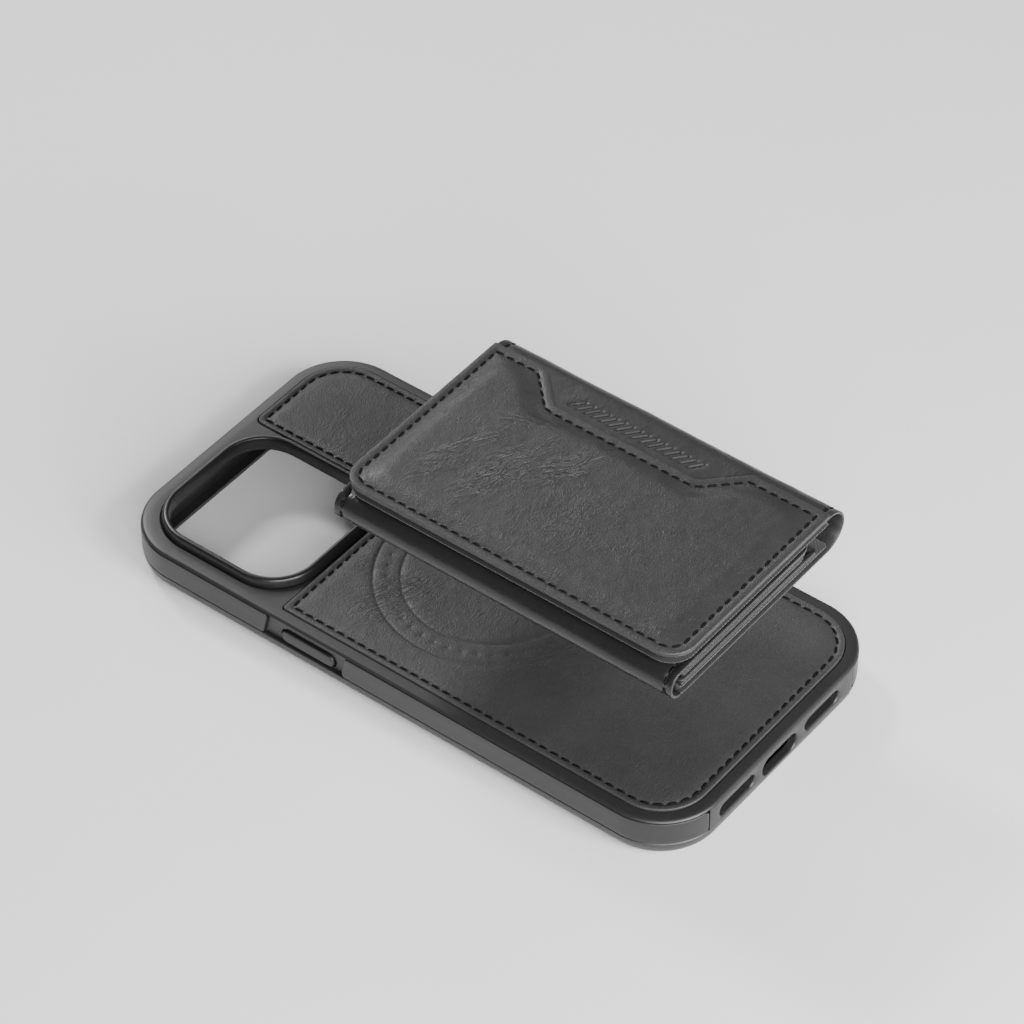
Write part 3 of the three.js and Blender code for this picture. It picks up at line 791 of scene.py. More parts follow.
CASE_CREASES = [(-14, -20, 70, 15, 9, 0.13)]
FLAP_CREASES = [
    (-4, -9, 74, 17, 4.5, 0.23),
    (8, -7, 76, 19, 6, 0.24),
    (19, 3, 66, 15, 4.5, 0.2),
    (3, 9, 28, 10, 3, 0.14),
    (30, -8, 80, 14, 4, 0.1),
]
CASE_LEATHER = leather_look(
    "case_leather", grey(0.02), grey(0.052), 0.58, 0.5, 0.035, CASE_CREASES, 0.1
)
PANEL_LEATHER = leather_look(
    "panel_leather", grey(0.014), grey(0.045), 0.5, 0.46, 0.035, FLAP_CREASES, 0.08
)
WALLET_LEATHER = leather_look(
    "wallet_leather", grey(0.014), grey(0.036), 0.55, 0.46, 0.03, grain_depth=0.03, wear_and_edge_highlight=0.1
)
ROLL_LEATHER = leather_look(
    "smooth_roll_leather", grey(0.009), grey(0.02), 0.55, 0.36, 0.02, grain_depth=0.015
)
TPU = moulded_look("satin_tpu", 0.016, 0.42)
PLATE = moulded_look("moulded_plate", 0.012, 0.5)
BEZEL_LOOK = moulded_look("bezel_satin", 0.008, 0.33, depth=0.008)
INLAY = moulded_look("smooth_inlay", 0.011, 0.38, texture=0.3, depth=0.006, rim=True)
BUTTON = moulded_look("satin_button", 0.009, 0.36)
MICROFIBRE = cloth_look("microfibre", 0.035, 0.35)
LINING = cloth_look("wallet_lining", 0.009, 0.5)
FOAM = cloth_look("foam_sheet", 0.02, 0.4)
THREAD = thread_look()
BOARD = board_look()
MAGNET = magnet_look()


def done(piece, body, slot, *nodes):
    """Puts a finished piece on its body, in place of CAD nodes."""
    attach(piece, body)
    if nodes:
        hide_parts(*nodes)
    return piece


# ---------------------------------------------------------------- closed skins and cuts


def merged(name, parts, material, sharp=35):
    """One closed mesh object from (points, triangles) parts whose edges meet."""
    points, triangles = [], []
    first = 0
    for p, t in parts:
        points.append(p)
        triangles.append(np.asarray(t) + first)
        first += len(p)
    points, triangles = np.concatenate(points), np.concatenate(triangles)
    key = np.round(points / 0.002).astype(np.int64)
    _, keep, same = np.unique(key, axis=0, return_index=True, return_inverse=True)
    triangles = same.reshape(-1)[triangles]
    a, b, c = triangles.T
    triangles = triangles[(a != b) & (b != c) & (c != a)]
    return make_mesh(name, points[keep], triangles, None, material, sharp)


def strip(loops, closed=False):
    """Triangles between matching loops of 3D points, one after another."""
    count = len(loops[0])
    rows = len(loops)
    triangles = []
    i = np.arange(count)
    j = (i + 1) % count
    for k in range(rows if closed else rows - 1):
        a, b = k * count, ((k + 1) % rows) * count
        triangles += [np.stack([a + i, a + j, b + j], 1), np.stack([a + i, b + j, b + i], 1)]
    return np.concatenate(loops), np.concatenate(triangles)


def capped(loops):
    """A closed solid through matching convex loops, facing outwards."""
    points, triangles = strip(loops)
    count = len(loops[0])
    last = len(points) - count
    i = np.arange(1, count - 1)
    zero = np.zeros(len(i), int)
    triangles = np.concatenate(
        [triangles, np.stack([zero, i + 1, i], 1), np.stack([zero, i, i + 1], 1) + last]
    )
    a, b, c = (points[triangles[:, k]] for k in range(3))
    if np.einsum("ij,ij->i", a, np.cross(b, c)).sum() < 0:
        triangles = triangles[:, ::-1]
    return points, triangles


def at_height(line, z):
    return np.column_stack([line, np.full(len(line), z)])


def case_loop(half_x, half_y, r):
    """A rounded rectangle about the origin with the same number of points at every size."""
    corners = [(half_x - r, -half_y + r), (half_x - r, half_y - r)]
    corners += [(-half_x + r, half_y - r), (-half_x + r, -half_y + r)]
    arcs = []
    for quarter, (cx, cy) in enumerate(corners):
        angles = (quarter - 1 + np.linspace(0, 1, 31)) * math.pi / 2
        arcs.append(np.stack([cx + r * np.cos(angles), cy + r * np.sin(angles)], 1))
    out = []
    for k, arc in enumerate(arcs):
        ahead = arcs[(k + 1) % 4][0]
        steps = 24 if k % 2 else 12
        out.append(arc)
        out.append(arc[-1] + (ahead - arc[-1]) * np.linspace(0, 1, steps + 1)[1:-1, None])
    return np.concatenate(out)


def inset_loop(inset, z):
    return at_height(case_loop(OUTER_X - inset, OUTER_Y - inset, OUTER_CORNER - inset), z)


def boolean_cut(target, parts):
    """Cuts closed solids that don't touch each other out of the target's mesh."""
    cutter = merged("cutter", parts, target.data.materials[0])
    modifier = target.modifiers.new("cut", "BOOLEAN")
    modifier.operation = "DIFFERENCE"
    modifier.solver = "MANIFOLD"
    modifier.object = cutter
    graph = bpy.context.evaluated_depsgraph_get()
    mesh = bpy.data.meshes.new_from_object(target.evaluated_get(graph))
    target.modifiers.clear()
    target.data = mesh
    bpy.data.objects.remove(cutter)
    mesh.shade_smooth()
    mesh.set_sharp_from_angle(angle=math.radians(32))


# ---------------------------------------------------------------- the bumper frame

GROOVE_DEPTH = 1.0
GROOVE_LOW, GROOVE_HIGH = 4.6, 11.3
GROOVE_END_Y = 27.8
BAY_SLANT = 1.3
BAYS = {-1: (-36.1, -13.3), 1: (-50.6, -8.4)}
BUTTON_Z = 7.0
BUTTON_HEIGHT = 3.5
BUTTONS = {
    "power_button_cover": (-23.2, 15.6, -1, "power_button"),
    "volume_down_cover": (-16.0, 10.6, 1, "volume_down"),
    "volume_up_cover": (-29.6, 10.6, 1, "volume_up"),
    "action_button_cover": (-42.6, 7.0, 1, "action_button"),
}
PORTS = [(-17.5, 13.4, 5.6, 9.3), (-1.0, 13.4, 4.3, 9.3), (15.5, 13.4, 5.6, 9.3)]


def outside_profile():
    """(inset, height) up the outside, from under the turn to the edge of the leather."""
    turn_inset, turn_height = 3.2, 5.4
    shoulder = 1.05
    levels = []
    for t in np.linspace(0, math.pi / 2, 15):
        levels.append((turn_inset * (1 - math.sin(t)), turn_height * (1 - math.cos(t))))
    levels += [(0, 7.4), (0, 9.4)]
    for t in np.linspace(0, 1.3, 10):
        levels.append((shoulder * (1 - math.cos(t)), FRAME_TOP - 1.2 + shoulder * math.sin(t)))
    levels += [(1.6, FRAME_TOP - 0.1), (2.4, FRAME_TOP - 0.03), (RIM_INSET - 0.4, FRAME_TOP)]
    return levels


def leather_outline(grow):
    """The L-shaped back: the rounded rectangle of the back without the camera corner."""
    x, y = LEATHER_X + grow, LEATHER_Y + grow
    r = OUTER_CORNER - RIM_INSET + grow
    x0, y0 = LEATHER_START_X - grow, LEATHER_START_Y - grow
    corners = [(x0, -y, 0.8), (x, -y, r), (x, y, r), (-x, y, r), (-x, y0, 2), (x0, y0, 2)]
    return rounded(corners, spacing=0.6)


def window_outline(grow):
    (x0, y0), (x1, y1) = WINDOW_LOW - grow, WINDOW_HIGH + grow
    return box_outline(x0, y0, x1, y1, WINDOW_CORNER + grow)


def make_frame():
    leather_hole = leather_outline(PIECE_GAP)
    window_hole = window_outline(BEZEL_BASE + 0.2)
    holes = [leather_hole, window_hole]
    cavity = case_loop(lining_high[0] + 0.3, lining_high[1] + 0.3, CAVITY_CORNER)
    loops = [at_height(cavity, SKIN_BOTTOM), at_height(cavity, LIP_THICKNESS)]
    loops += [inset_loop(LIP_INSET, z) for z in (LIP_THICKNESS, 0.35)]
    loops += [inset_loop(LIP_INSET - 0.12, 0.1), inset_loop(LIP_INSET - 0.4, 0)]
    loops += [inset_loop(inset, z) for inset, z in outside_profile()]
    parts = [strip(loops)]
    rounding = 0.15
    outer = loops[-1][:, :2]
    near_holes = np.concatenate([hole + outward(hole) * rounding for hole in holes])
    near_holes = near_holes[inside(near_holes, outer) & (distance(near_holes, outer) > 0.05)]
    inner = np.concatenate([near_holes, lattice(outer, 2.5, 0.6, holes)])
    points, triangles = triangulate([outer, *holes], inner)
    d = np.minimum(distance(points, leather_hole), distance(points, window_hole))
    on_outer = np.arange(len(points)) < len(outer)
    z = FRAME_TOP - np.where(on_outer, 0, edge_drop(d, rounding))
    parts.append((np.column_stack([points, z]), triangles))
    ceiling, faces = triangulate([cavity, *holes], np.zeros((0, 2)))
    parts.append((at_height(ceiling, SKIN_BOTTOM), faces[:, ::-1]))
    for hole in holes:
        walls = [at_height(hole, FRAME_TOP - rounding), at_height(hole, SKIN_BOTTOM)]
        parts.append(strip(walls))
    return merged("bumper", parts, TPU)


def side_path():
    """The near side's outline in plan, with its length measured from the middle."""
    end = math.asin((GROOVE_END_Y - (OUTER_Y - OUTER_CORNER)) / OUTER_CORNER)
    angles = np.linspace(math.pi + end, 1.5 * math.pi, 40)
    cx, cy = OUTER_X - OUTER_CORNER, -OUTER_Y + OUTER_CORNER
    turn = np.stack([OUTER_CORNER * np.cos(angles), OUTER_CORNER * np.sin(angles)], 1)
    left = turn + (-cx, cy)
    right = (turn * (-1, 1) + (cx, cy))[::-1]
    line = filled_in(np.concatenate([left, right]), 0.8, closed=False)
    run = run_length(line)
    return line, outward(line, closed=False), run - run[-1] / 2


SIDE_LINE, SIDE_NORMAL, SIDE_RUN = side_path()


def on_side(s, z, depth, side):
    """A point at length s along the side and height z, depth below the outer surface."""
    inward = point_on(SIDE_NORMAL, SIDE_RUN, s) * np.reshape(depth, (-1, 1))
    p = point_on(SIDE_LINE, SIDE_RUN, s) - inward
    return np.column_stack([p[:, 0], p[:, 1] * -side, np.broadcast_to(z, len(p))])


def groove_cutter(side):
    """The groove of one long side as a solid, with its two lips eased."""
    flare = 0.2
    section = [(-2, GROOVE_LOW - flare), (0.05, GROOVE_LOW - flare), (0.25, GROOVE_LOW)]
    section += [(GROOVE_DEPTH, GROOVE_LOW), (GROOVE_DEPTH, GROOVE_HIGH)]
    section += [(0.25, GROOVE_HIGH), (0.05, GROOVE_HIGH + flare), (-2, GROOVE_HIGH + flare)]
    depth, z = np.array(section).T
    return capped([on_side(np.full(len(z), s), z, depth, side) for s in SIDE_RUN])


def pill(centre, middle, length, height):
    r = height / 2
    return box_outline(centre - length / 2, middle - r, centre + length / 2, middle + r, r - 0.01)


def side_pill(x, z, length, height, rows, side):
    """A solid of pill outlines at (grow, depth) rows, going into a long side."""
    loops = []
    for grow, depth in rows:
        line = pill(x, z, length + 2 * grow, height + 2 * grow)
        y = np.full(len(line), side * (OUTER_Y - depth))
        loops.append(np.column_stack([line[:, 0], y, line[:, 1]]))
    return capped(matched(loops))


def end_pill(y, z, length, height, rows):
    """The same, going into the port end."""
    loops = []
    for grow, depth in rows:
        line = pill(y, z, length + 2 * grow, height + 2 * grow)
        loops.append(np.column_stack([np.full(len(line), OUTER_X - depth), line]))
    return capped(matched(loops))


def matched(loops, count=96):
    """The loops with the same number of points, evenly spaced."""
    out = []
    for loop in loops:
        line = np.concatenate([loop, loop[:1]])
        run = run_length(line)
        out.append(point_on(line, run, np.linspace(0, run[-1], count, endpoint=False)))
    return out


bumper = make_frame()
boolean_cut(bumper, [groove_cutter(-1), groove_cutter(1)])
BUTTON_HOLE = [(0.55, -2), (0.5, GROOVE_DEPTH - 0.05), (0.3, GROOVE_DEPTH + 0.2)]
BUTTON_HOLE += [(0.3, GROOVE_DEPTH + 0.5), (1.3, GROOVE_DEPTH + 0.5), (1.3, 3.6)]
PORT_HOLE = [(0.9, -2), (0.5, -0.02), (0.18, 0.12), (0, 0.4), (0, 3.4)]
cuts = []
for x, length, side, _ in BUTTONS.values():
    cuts.append(side_pill(x, BUTTON_Z, length, BUTTON_HEIGHT, BUTTON_HOLE, side))
for y, width, low, high in PORTS:
    cuts.append(end_pill(y, (low + high) / 2, width, high - low, PORT_HOLE))
boolean_cut(bumper, cuts)
done(bumper, "case", "frame_tpu", "bumper_frame")


# ---------------------------------------------------------------- the other case pieces

INLAY_DEPTH = 0.85
INLAY_CORNER = 1.2


def inlay(name, side, start, end, start_slant, end_slant):
    """A strip in the groove from length start to end along the side, at the groove's bottom."""
    low, high = GROOVE_LOW + PIECE_GAP, GROOVE_HIGH - PIECE_GAP
    corners = [(start, low), (end, low), (end + end_slant, high), (start + start_slant, high)]
    outline = rounded([(s, z, INLAY_CORNER) for s, z in corners], spacing=0.7)

    def place(u, v, w):
        return on_side(u, v, INLAY_DEPTH - w, side)

    piece = sheet(name, outline, INLAY_DEPTH, place, INLAY, edge=0.22, flip=side > 0)
    done(piece, "case", "inlay", name.replace("_skin", ""))


half_side = SIDE_RUN[-1]
for label, side in (("near", -1), ("far", 1)):
    start, end = BAYS[side]
    camera_end, port_end = f"{label}_inlay_camera_end_skin", f"{label}_inlay_port_end_skin"
    inlay(camera_end, side, PIECE_GAP - half_side, start - PIECE_GAP, 0, BAY_SLANT)
    inlay(port_end, side, end + PIECE_GAP, half_side - PIECE_GAP, BAY_SLANT, 0)

BUTTON_ROWS = [(1.0, 2.3), (1.0, 1.65), (0, 1.6), (0, 0.62), (-0.06, 0.48), (-0.2, 0.37)]
BUTTON_ROWS += [(-0.45, 0.3), (-0.9, 0.24), (-1.5, 0.21)]
for node, (x, length, side, body) in BUTTONS.items():
    parts = [side_pill(x, BUTTON_Z, length, BUTTON_HEIGHT, BUTTON_ROWS, side)]
    done(merged(f"{node}_cap", parts, BUTTON, sharp=40), body, "button", node)


def make_bezel():
    """The raised ring round the camera window, softly rounded on top."""
    top = bezel_high[2]
    rows = [(0, SKIN_BOTTOM), (BEZEL_BASE, SKIN_BOTTOM), (BEZEL_BASE, FRAME_TOP)]
    rows += [(1.72, FRAME_TOP + 0.7), (1.55, top - 0.75), (1.42, top - 0.4), (1.2, top - 0.14)]
    rows += [(0.9, top - 0.02), (0.6, top), (0.34, top - 0.03), (0.12, top - 0.14), (0, top - 0.34)]
    loops = [at_height(window_loop(grow), z) for grow, z in rows]
    return merged("window_bezel", [strip(loops, closed=True)], BEZEL_LOOK, sharp=50)


def window_loop(grow):
    half = (WINDOW_HIGH - WINDOW_LOW) / 2 + grow
    return case_loop(half[0], half[1], WINDOW_CORNER + grow) + (WINDOW_LOW + WINDOW_HIGH) / 2


done(make_bezel(), "case", "bezel", "camera_window_bezel")

RING_RADII = (22.0, 28.5)
RING_WIDTH, RING_DEPTH = 0.34, 0.26
RING_OFFSETS = (-0.75, -0.38, -0.18, 0, 0.18, 0.38, 0.75)
BAND_EDGE, BAND_DEPTH = 0.6, 0.05
STUD_RADIUS = 25.2
STUD_COUNT = 44
STUD_WIDTH, STUD_DEPTH = 0.5, 0.2


def circle(r, spacing=0.6, cx=0.0, cy=0.0):
    count = max(8, math.ceil(2 * math.pi * r / spacing))
    a = np.linspace(0, 2 * math.pi, count, endpoint=False)
    return np.stack([cx + r * np.cos(a), cy + r * np.sin(a)], 1)


def ring_features():
    """Mesh points for the debossed magnet ring: two lines and a circle of small dimples."""
    out = [circle(r + o) for r in RING_RADII for o in RING_OFFSETS]
    for x, y in stud_centres():
        out += [circle(r, 0.35, x, y) for r in (0.25, 0.5, 0.85)]
        out.append(np.array([[x, y]]))
    return np.concatenate(out)


def stud_centres():
    a = (np.arange(STUD_COUNT) + 0.5) * 2 * math.pi / STUD_COUNT
    return np.stack([STUD_RADIUS * np.cos(a), STUD_RADIUS * np.sin(a)], 1)


def ring_relief(p):
    r = size_of(p)
    lines = sum(dent(r - radius, RING_WIDTH) for radius in RING_RADII)
    band = smooth((r - RING_RADII[0]) / BAND_EDGE) * smooth((RING_RADII[1] - r) / BAND_EDGE)
    centres = stud_centres()
    to_stud = size_of(p - centres[nearest(p, centres)])
    return -RING_DEPTH * lines - BAND_DEPTH * band - STUD_DEPTH * dent(to_stud, STUD_WIDTH)


CASE_SEAM_INSET = 1.8
CASE_SINK = 0.12
CASE_PITCH = 3.1
case_outline = leather_outline(0)
case_seam = Seam(inset_line(case_outline, CASE_SEAM_INSET), CASE_PITCH, closed=True)


def case_relief(p, d):
    """A bead outside the seam, a low shoulder inside it, a gentle swell, and the pressed ring."""
    bead = 0.08 * dent(d - 0.95, 0.45)
    shoulder = 0.08 * smooth((d - 2.0) / 3.0)
    swell = 0.04 * value_noise(p, 13, 1) + 0.02 * value_noise(p, 5, 2)
    pressed = case_seam.dip(p) + ring_relief(p)
    return pressed + bead + shoulder + swell * smooth((d - 2) / 4) - CASE_SINK


leather_skin = sheet(
    "leather_back",
    case_outline,
    leather_high[2] - leather_low[2],
    flat_at(SKIN_BOTTOM),
    CASE_LEATHER,
    edge=0.42,
    spacing=1.5,
    relief=case_relief,
    features=[case_seam.rows(), ring_features()],
)
done(leather_skin, "case", "case_leather", "leather_back_panel")
case_face = flat_at(LEATHER_TOP - CASE_SINK)
done(stitches("leather_back_stitching", [case_seam], case_face), "case", "case_leather")

LINING_NAP = 0.04
lining_outline = box_outline(*lining_low[:2], *lining_high[:2], CAVITY_CORNER - 0.3)
lining_skin = sheet(
    "microfibre_sheet",
    lining_outline,
    lining_high[2] - lining_low[2],
    flat_under(lining_high[2]),
    MICROFIBRE,
    edge=0.15,
    back_edge=0.05,
    spacing=2.2,
    relief=lambda p, d: LINING_NAP * value_noise(p, 6, 5),
    holes=[window_outline(0.3)],
    flip=True,
)
done(lining_skin, "case", "microfibre", "microfibre_lining")


# ---------------------------------------------------------------- the wallet: folded leathers

WALLET_X0, WALLET_X1 = panel_low[0], panel_high[0]
WALLET_MIDDLE = (WALLET_X0 + WALLET_X1) / 2
PANEL_NEAR, PANEL_BOTTOM, PANEL_TOP = panel_low[1], panel_low[2], panel_high[2]
PANEL_FAR = 26.8
PANEL_CORNER = 6.5
NEAR_BUTT_Y = -28.95


def fold_path(pieces):
    """A line in Y and Z, its unit normals a quarter turn anticlockwise, and its length so far."""
    line = filled_in(np.concatenate(pieces), 0.7, closed=False)
    return line, -outward(line, closed=False), run_length(line)


def half_turn(centre_y, reach, low, high, rising):
    """Half an ellipse from one level to the other, bulging by reach from centre_y."""
    t = np.linspace(-math.pi / 2, math.pi / 2, 41) * (1 if rising else -1)
    middle, half = (low + high) / 2, (high - low) / 2
    return np.stack([centre_y + reach * np.cos(t), middle + half * np.sin(t)], 1)


def along_path(path, thickness):
    """Places a sheet whose face follows the path, x across it and length along it."""
    line, normal, run = path

    def place(u, v, w):
        placed = point_on(line, run, v) + point_on(normal, run, v) * (w - thickness)[:, None]
        return np.column_stack([u, placed])

    return place


def length_at(path, y, z):
    line, _, run = path
    return run[np.argmin(np.hypot(line[:, 0] - y, line[:, 1] - z))]


def bend_with(piece, flap, y, low, high):
    """Bakes the piece's placement into its mesh; flap, y, low and high are not used."""
    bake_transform(piece)


# Where each fold would start and end its bend: y, then the two heights; bend_with does not use them.
SPINE_BEND = (27.0, 44.9, 54.4)
ROLL_BEND = (-29.1, 44.9, 50.5)

# The spine leather: the layer under the main panel, the spine, and the back of the wallet.
STRIP_TOP = 55.3
SPINE_TURN_Y = 26.6
SPINE_THICKNESS = 0.72
SPINE_SINK = 0.08
spine_path = fold_path(
    [
        np.array([[PANEL_NEAR + 0.2, STRIP_TOP], [SPINE_TURN_Y - 1, STRIP_TOP]]),
        half_turn(SPINE_TURN_Y, spine_high[1] - SPINE_TURN_Y, WALLET_BOTTOM, STRIP_TOP, False),
        np.array([[SPINE_TURN_Y - 1, WALLET_BOTTOM], [NEAR_BUTT_Y, WALLET_BOTTOM]]),
    ]
)
spine_end = spine_path[2][-1]
edge_x0, edge_x1 = WALLET_X0 + 0.15, WALLET_X1 - 0.15
spine_outline = box_outline(edge_x0, 0, edge_x1, spine_end, PANEL_CORNER - 0.3, 0.5)

PANEL_SEAM_INSET = 2.35
PANEL_PITCH = 3.0
spine_seams = []
spine_seam_start = length_at(spine_path, PANEL_FAR + 0.4, STRIP_TOP)
spine_seam_end = length_at(spine_path, SPINE_TURN_Y - 2, WALLET_BOTTOM)
for x in (WALLET_X0 + PANEL_SEAM_INSET, WALLET_X1 - PANEL_SEAM_INSET):
    spine_seams.append(Seam([(x, spine_seam_start), (x, spine_seam_end)], PANEL_PITCH))

MOTIF_Y = 22.3
MOTIF_X = np.linspace(7.0, 40.5, 16)
MOTIF_REACH = 1.3
MOTIF_LEAN = 0.8
MOTIF_DEPTH, MOTIF_WIDTH = 0.48, 0.36
MOTIF_OFFSETS = (-0.9, -0.55, -0.35, -0.17, 0, 0.17, 0.35, 0.55, 0.9)
motif_s = length_at(spine_path, MOTIF_Y, STRIP_TOP)
motif_points = []
for x in MOTIF_X:
    along = np.arange(-MOTIF_REACH - 0.9, MOTIF_REACH + 0.91, 0.3)
    for o in MOTIF_OFFSETS:
        motif_points.append(np.stack([x + o + MOTIF_LEAN * along, motif_s + along], 1))


def motif_relief(p):
    """A plain row of slanted strokes pressed into the strip."""
    out = np.zeros(len(p))
    across = p[:, 1] - motif_s
    beyond = np.maximum(0, np.abs(across) - MOTIF_REACH)
    for x in MOTIF_X:
        aside = (p[:, 0] - x - MOTIF_LEAN * across) / math.hypot(1, MOTIF_LEAN)
        out -= MOTIF_DEPTH * dent(np.hypot(beyond, aside), MOTIF_WIDTH)
    return out


def spine_relief(p, d):
    out = 0.05 * value_noise(p, 9, 11) + 0.03 * value_noise(p, 3.5, 12) - SPINE_SINK
    for seam in spine_seams:
        out = out + seam.dip(p)
    return out + motif_relief(p)


spine_leather = sheet(
    "spine_and_back_leather",
    spine_outline,
    SPINE_THICKNESS,
    along_path(spine_path, SPINE_THICKNESS),
    WALLET_LEATHER,
    edge=0.22,
    spacing=1.3,
    relief=spine_relief,
    features=[*(seam.rows() for seam in spine_seams), *motif_points],
)
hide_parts("spine_fold", "spine_strip", "wallet_back_leather")
spine_thread = stitches("spine_stitching", spine_seams, along_path(spine_path, SPINE_SINK))
for piece in (spine_leather, spine_thread):
    bend_with(piece, "outer_flap", *SPINE_BEND)

# The roll leather: round the near fold and over the inner flap.
ROLL_THICKNESS = 0.8
ROLL_CENTRE_Y = roll_high[1]
roll_path = fold_path(
    [
        np.array([[NEAR_BUTT_Y - 0.05, WALLET_BOTTOM], [ROLL_CENTRE_Y, WALLET_BOTTOM]]),
        half_turn(ROLL_CENTRE_Y, roll_low[1] - ROLL_CENTRE_Y, WALLET_BOTTOM, inner_high[2], True),
        np.array([[ROLL_CENTRE_Y, inner_high[2]], [inner_high[1], inner_high[2]]]),
    ]
)
roll_end = roll_path[2][-1]
roll_outline = box_outline(edge_x0, 0, edge_x1, roll_end, 0.5, 5)
INNER_SEAM_INSET = 2.0
INNER_SEAM_START = 0.8
roll_seam_line = box_outline(
    edge_x0 + INNER_SEAM_INSET, -20, edge_x1 - INNER_SEAM_INSET, roll_end - INNER_SEAM_INSET, 1, 3
)
in_sheet = roll_seam_line[:, 1] > INNER_SEAM_START
on_right = in_sheet & (roll_seam_line[:, 0] > WALLET_MIDDLE)
first = np.argmin(np.where(on_right, roll_seam_line[:, 1], np.inf))
roll_seam_line = np.roll(roll_seam_line, -first, 0)
roll_seam = Seam(roll_seam_line[roll_seam_line[:, 1] > INNER_SEAM_START], PANEL_PITCH)


def roll_relief(p, d):
    return roll_seam.dip(p) + 0.04 * value_noise(p * (0.35, 1), 3.0, 21)


roll_leather = sheet(
    "near_roll_and_inner_flap_leather",
    roll_outline,
    ROLL_THICKNESS,
    along_path(roll_path, ROLL_THICKNESS),
    ROLL_LEATHER,
    edge=0.25,
    spacing=1.3,
    relief=roll_relief,
    features=[roll_seam.rows()],
)
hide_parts("near_fold", "inner_flap_leather")
roll_thread = stitches("near_roll_stitching", [roll_seam], along_path(roll_path, 0.0))
for piece in (roll_leather, roll_thread):
    bend_with(piece, "inner_flap", *ROLL_BEND)

# ---------------------------------------------------------------- the wallet: outer flap

BAY_X0, BAY_X1, BAY_RUN, BAY_Y = -5.3, 52.6, 8.9, 17.9
panel_corners = [
    (WALLET_X0, PANEL_NEAR, PANEL_CORNER),
    (WALLET_X1, PANEL_NEAR, PANEL_CORNER),
    (WALLET_X1, PANEL_FAR, 0.6),
    (BAY_X1, PANEL_FAR, 2.6),
    (BAY_X1 - BAY_RUN, BAY_Y, 2.6),
    (BAY_X0 + BAY_RUN, BAY_Y, 2.6),
    (BAY_X0, PANEL_FAR, 2.6),
    (WALLET_X0, PANEL_FAR, 0.6),
]
panel_outline = rounded(panel_corners, spacing=0.6)
panel_seam = Seam(inset_line(panel_outline, PANEL_SEAM_INSET), PANEL_PITCH, closed=True)
PADDING = 1.05
PADDING_START, PADDING_RUN, PADDING_SOFTNESS = 2.6, 4.6, 1.6


def soft_distance(p, corners, softness):
    """Distance to the nearest side of a polygon, with its ridges at the corners rounded."""
    a = np.array(corners, float)[:, :2]
    b = np.roll(a, -1, 0)
    total = np.zeros(len(p))
    for start, side in zip(a, b - a):
        t = np.clip((p - start) @ side / (side @ side), 0, 1)
        total += np.exp(-np.linalg.norm(p - start - t[:, None] * side, axis=1) / softness)
    return -softness * np.log(total)


def panel_relief(p, d):
    """A flat stitched rim, a groove along the seam, and a padded middle."""
    reach = soft_distance(p, panel_corners, PADDING_SOFTNESS)
    padding = PADDING * smooth((reach - PADDING_START) / PADDING_RUN)
    bead = 0.07 * dent(d - 1.2, 0.6)
    rough = smooth((d - 3) / 4)
    swell = 0.1 * value_noise(p, 16, 31) + 0.05 * value_noise(p, 6, 32)
    return panel_seam.dip(p) + bead + padding + swell * rough


panel = sheet(
    "outer_flap_main_panel",
    panel_outline,
    PANEL_TOP - PANEL_BOTTOM,
    flat_at(PANEL_BOTTOM),
    PANEL_LEATHER,
    edge=0.28,
    spacing=1.4,
    relief=panel_relief,
    features=[panel_seam.rows()],
)
done(panel, "outer_flap", "wallet_leather", "outer_flap_panel")
done(
    stitches("outer_flap_stitching", [panel_seam], flat_at(PANEL_TOP - THREAD_SINK)),
    "outer_flap",
    "wallet_leather",
)

foam_low, foam_high = box_mm("outer_flap_foam")
foam_outline = box_outline(*foam_low[:2], *foam_high[:2], PANEL_CORNER - 3.6, 0.5)
foam = sheet(
    "flap_foam_pad",
    foam_outline,
    foam_high[2] - foam_low[2] - 0.06,
    flat_at(foam_low[2]),
    FOAM,
    edge=0.3,
    spacing=3,
    relief=lambda p, d: 0.04 * value_noise(p, 4, 41),
)
done(foam, "outer_flap", "foam", "outer_flap_foam")

cloth_low, cloth_high = box_mm("outer_flap_lining")
cloth_outline = box_outline(*cloth_low[:2], *cloth_high[:2], PANEL_CORNER - 0.4, 0.5)
flap_cloth_seam = Seam(inset_line(cloth_outline, PANEL_SEAM_INSET - 0.4), PANEL_PITCH, closed=True)
flap_cloth = sheet(
    "outer_flap_lining_cloth",
    cloth_outline,
    cloth_high[2] - cloth_low[2],
    flat_under(cloth_high[2]),
    LINING,
    edge=0.15,
    back_edge=0.05,
    spacing=1.8,
    relief=lambda p, d: flap_cloth_seam.dip(p, 0.05, 0.08) + 0.03 * value_noise(p, 7, 42),
    features=[flap_cloth_seam.rows()],
    flip=True,
)
done(flap_cloth, "outer_flap", "wallet_lining", "outer_flap_lining")
done(
    flipped_stitches("outer_flap_lining_stitching", [flap_cloth_seam], cloth_low[2]),
    "outer_flap",
    "wallet_lining",
)

# ---------------------------------------------------------------- the wallet: linings and pockets


def lining_cloth(name, node, body, face_down):
    low, high = box_mm(node)
    outline = box_outline(*low[:2], *high[:2], 1, 4.4 if face_down else 1)
    piece = sheet(
        name,
        outline,
        high[2] - low[2],
        facing(low[2], high[2], face_down),
        LINING,
        edge=0.15,
        back_edge=0.05,
        spacing=2.5,
        relief=lambda p, d: 0.02 * value_noise(p, 7, 43),
        flip=face_down,
    )
    return done(piece, body, "wallet_lining", node)


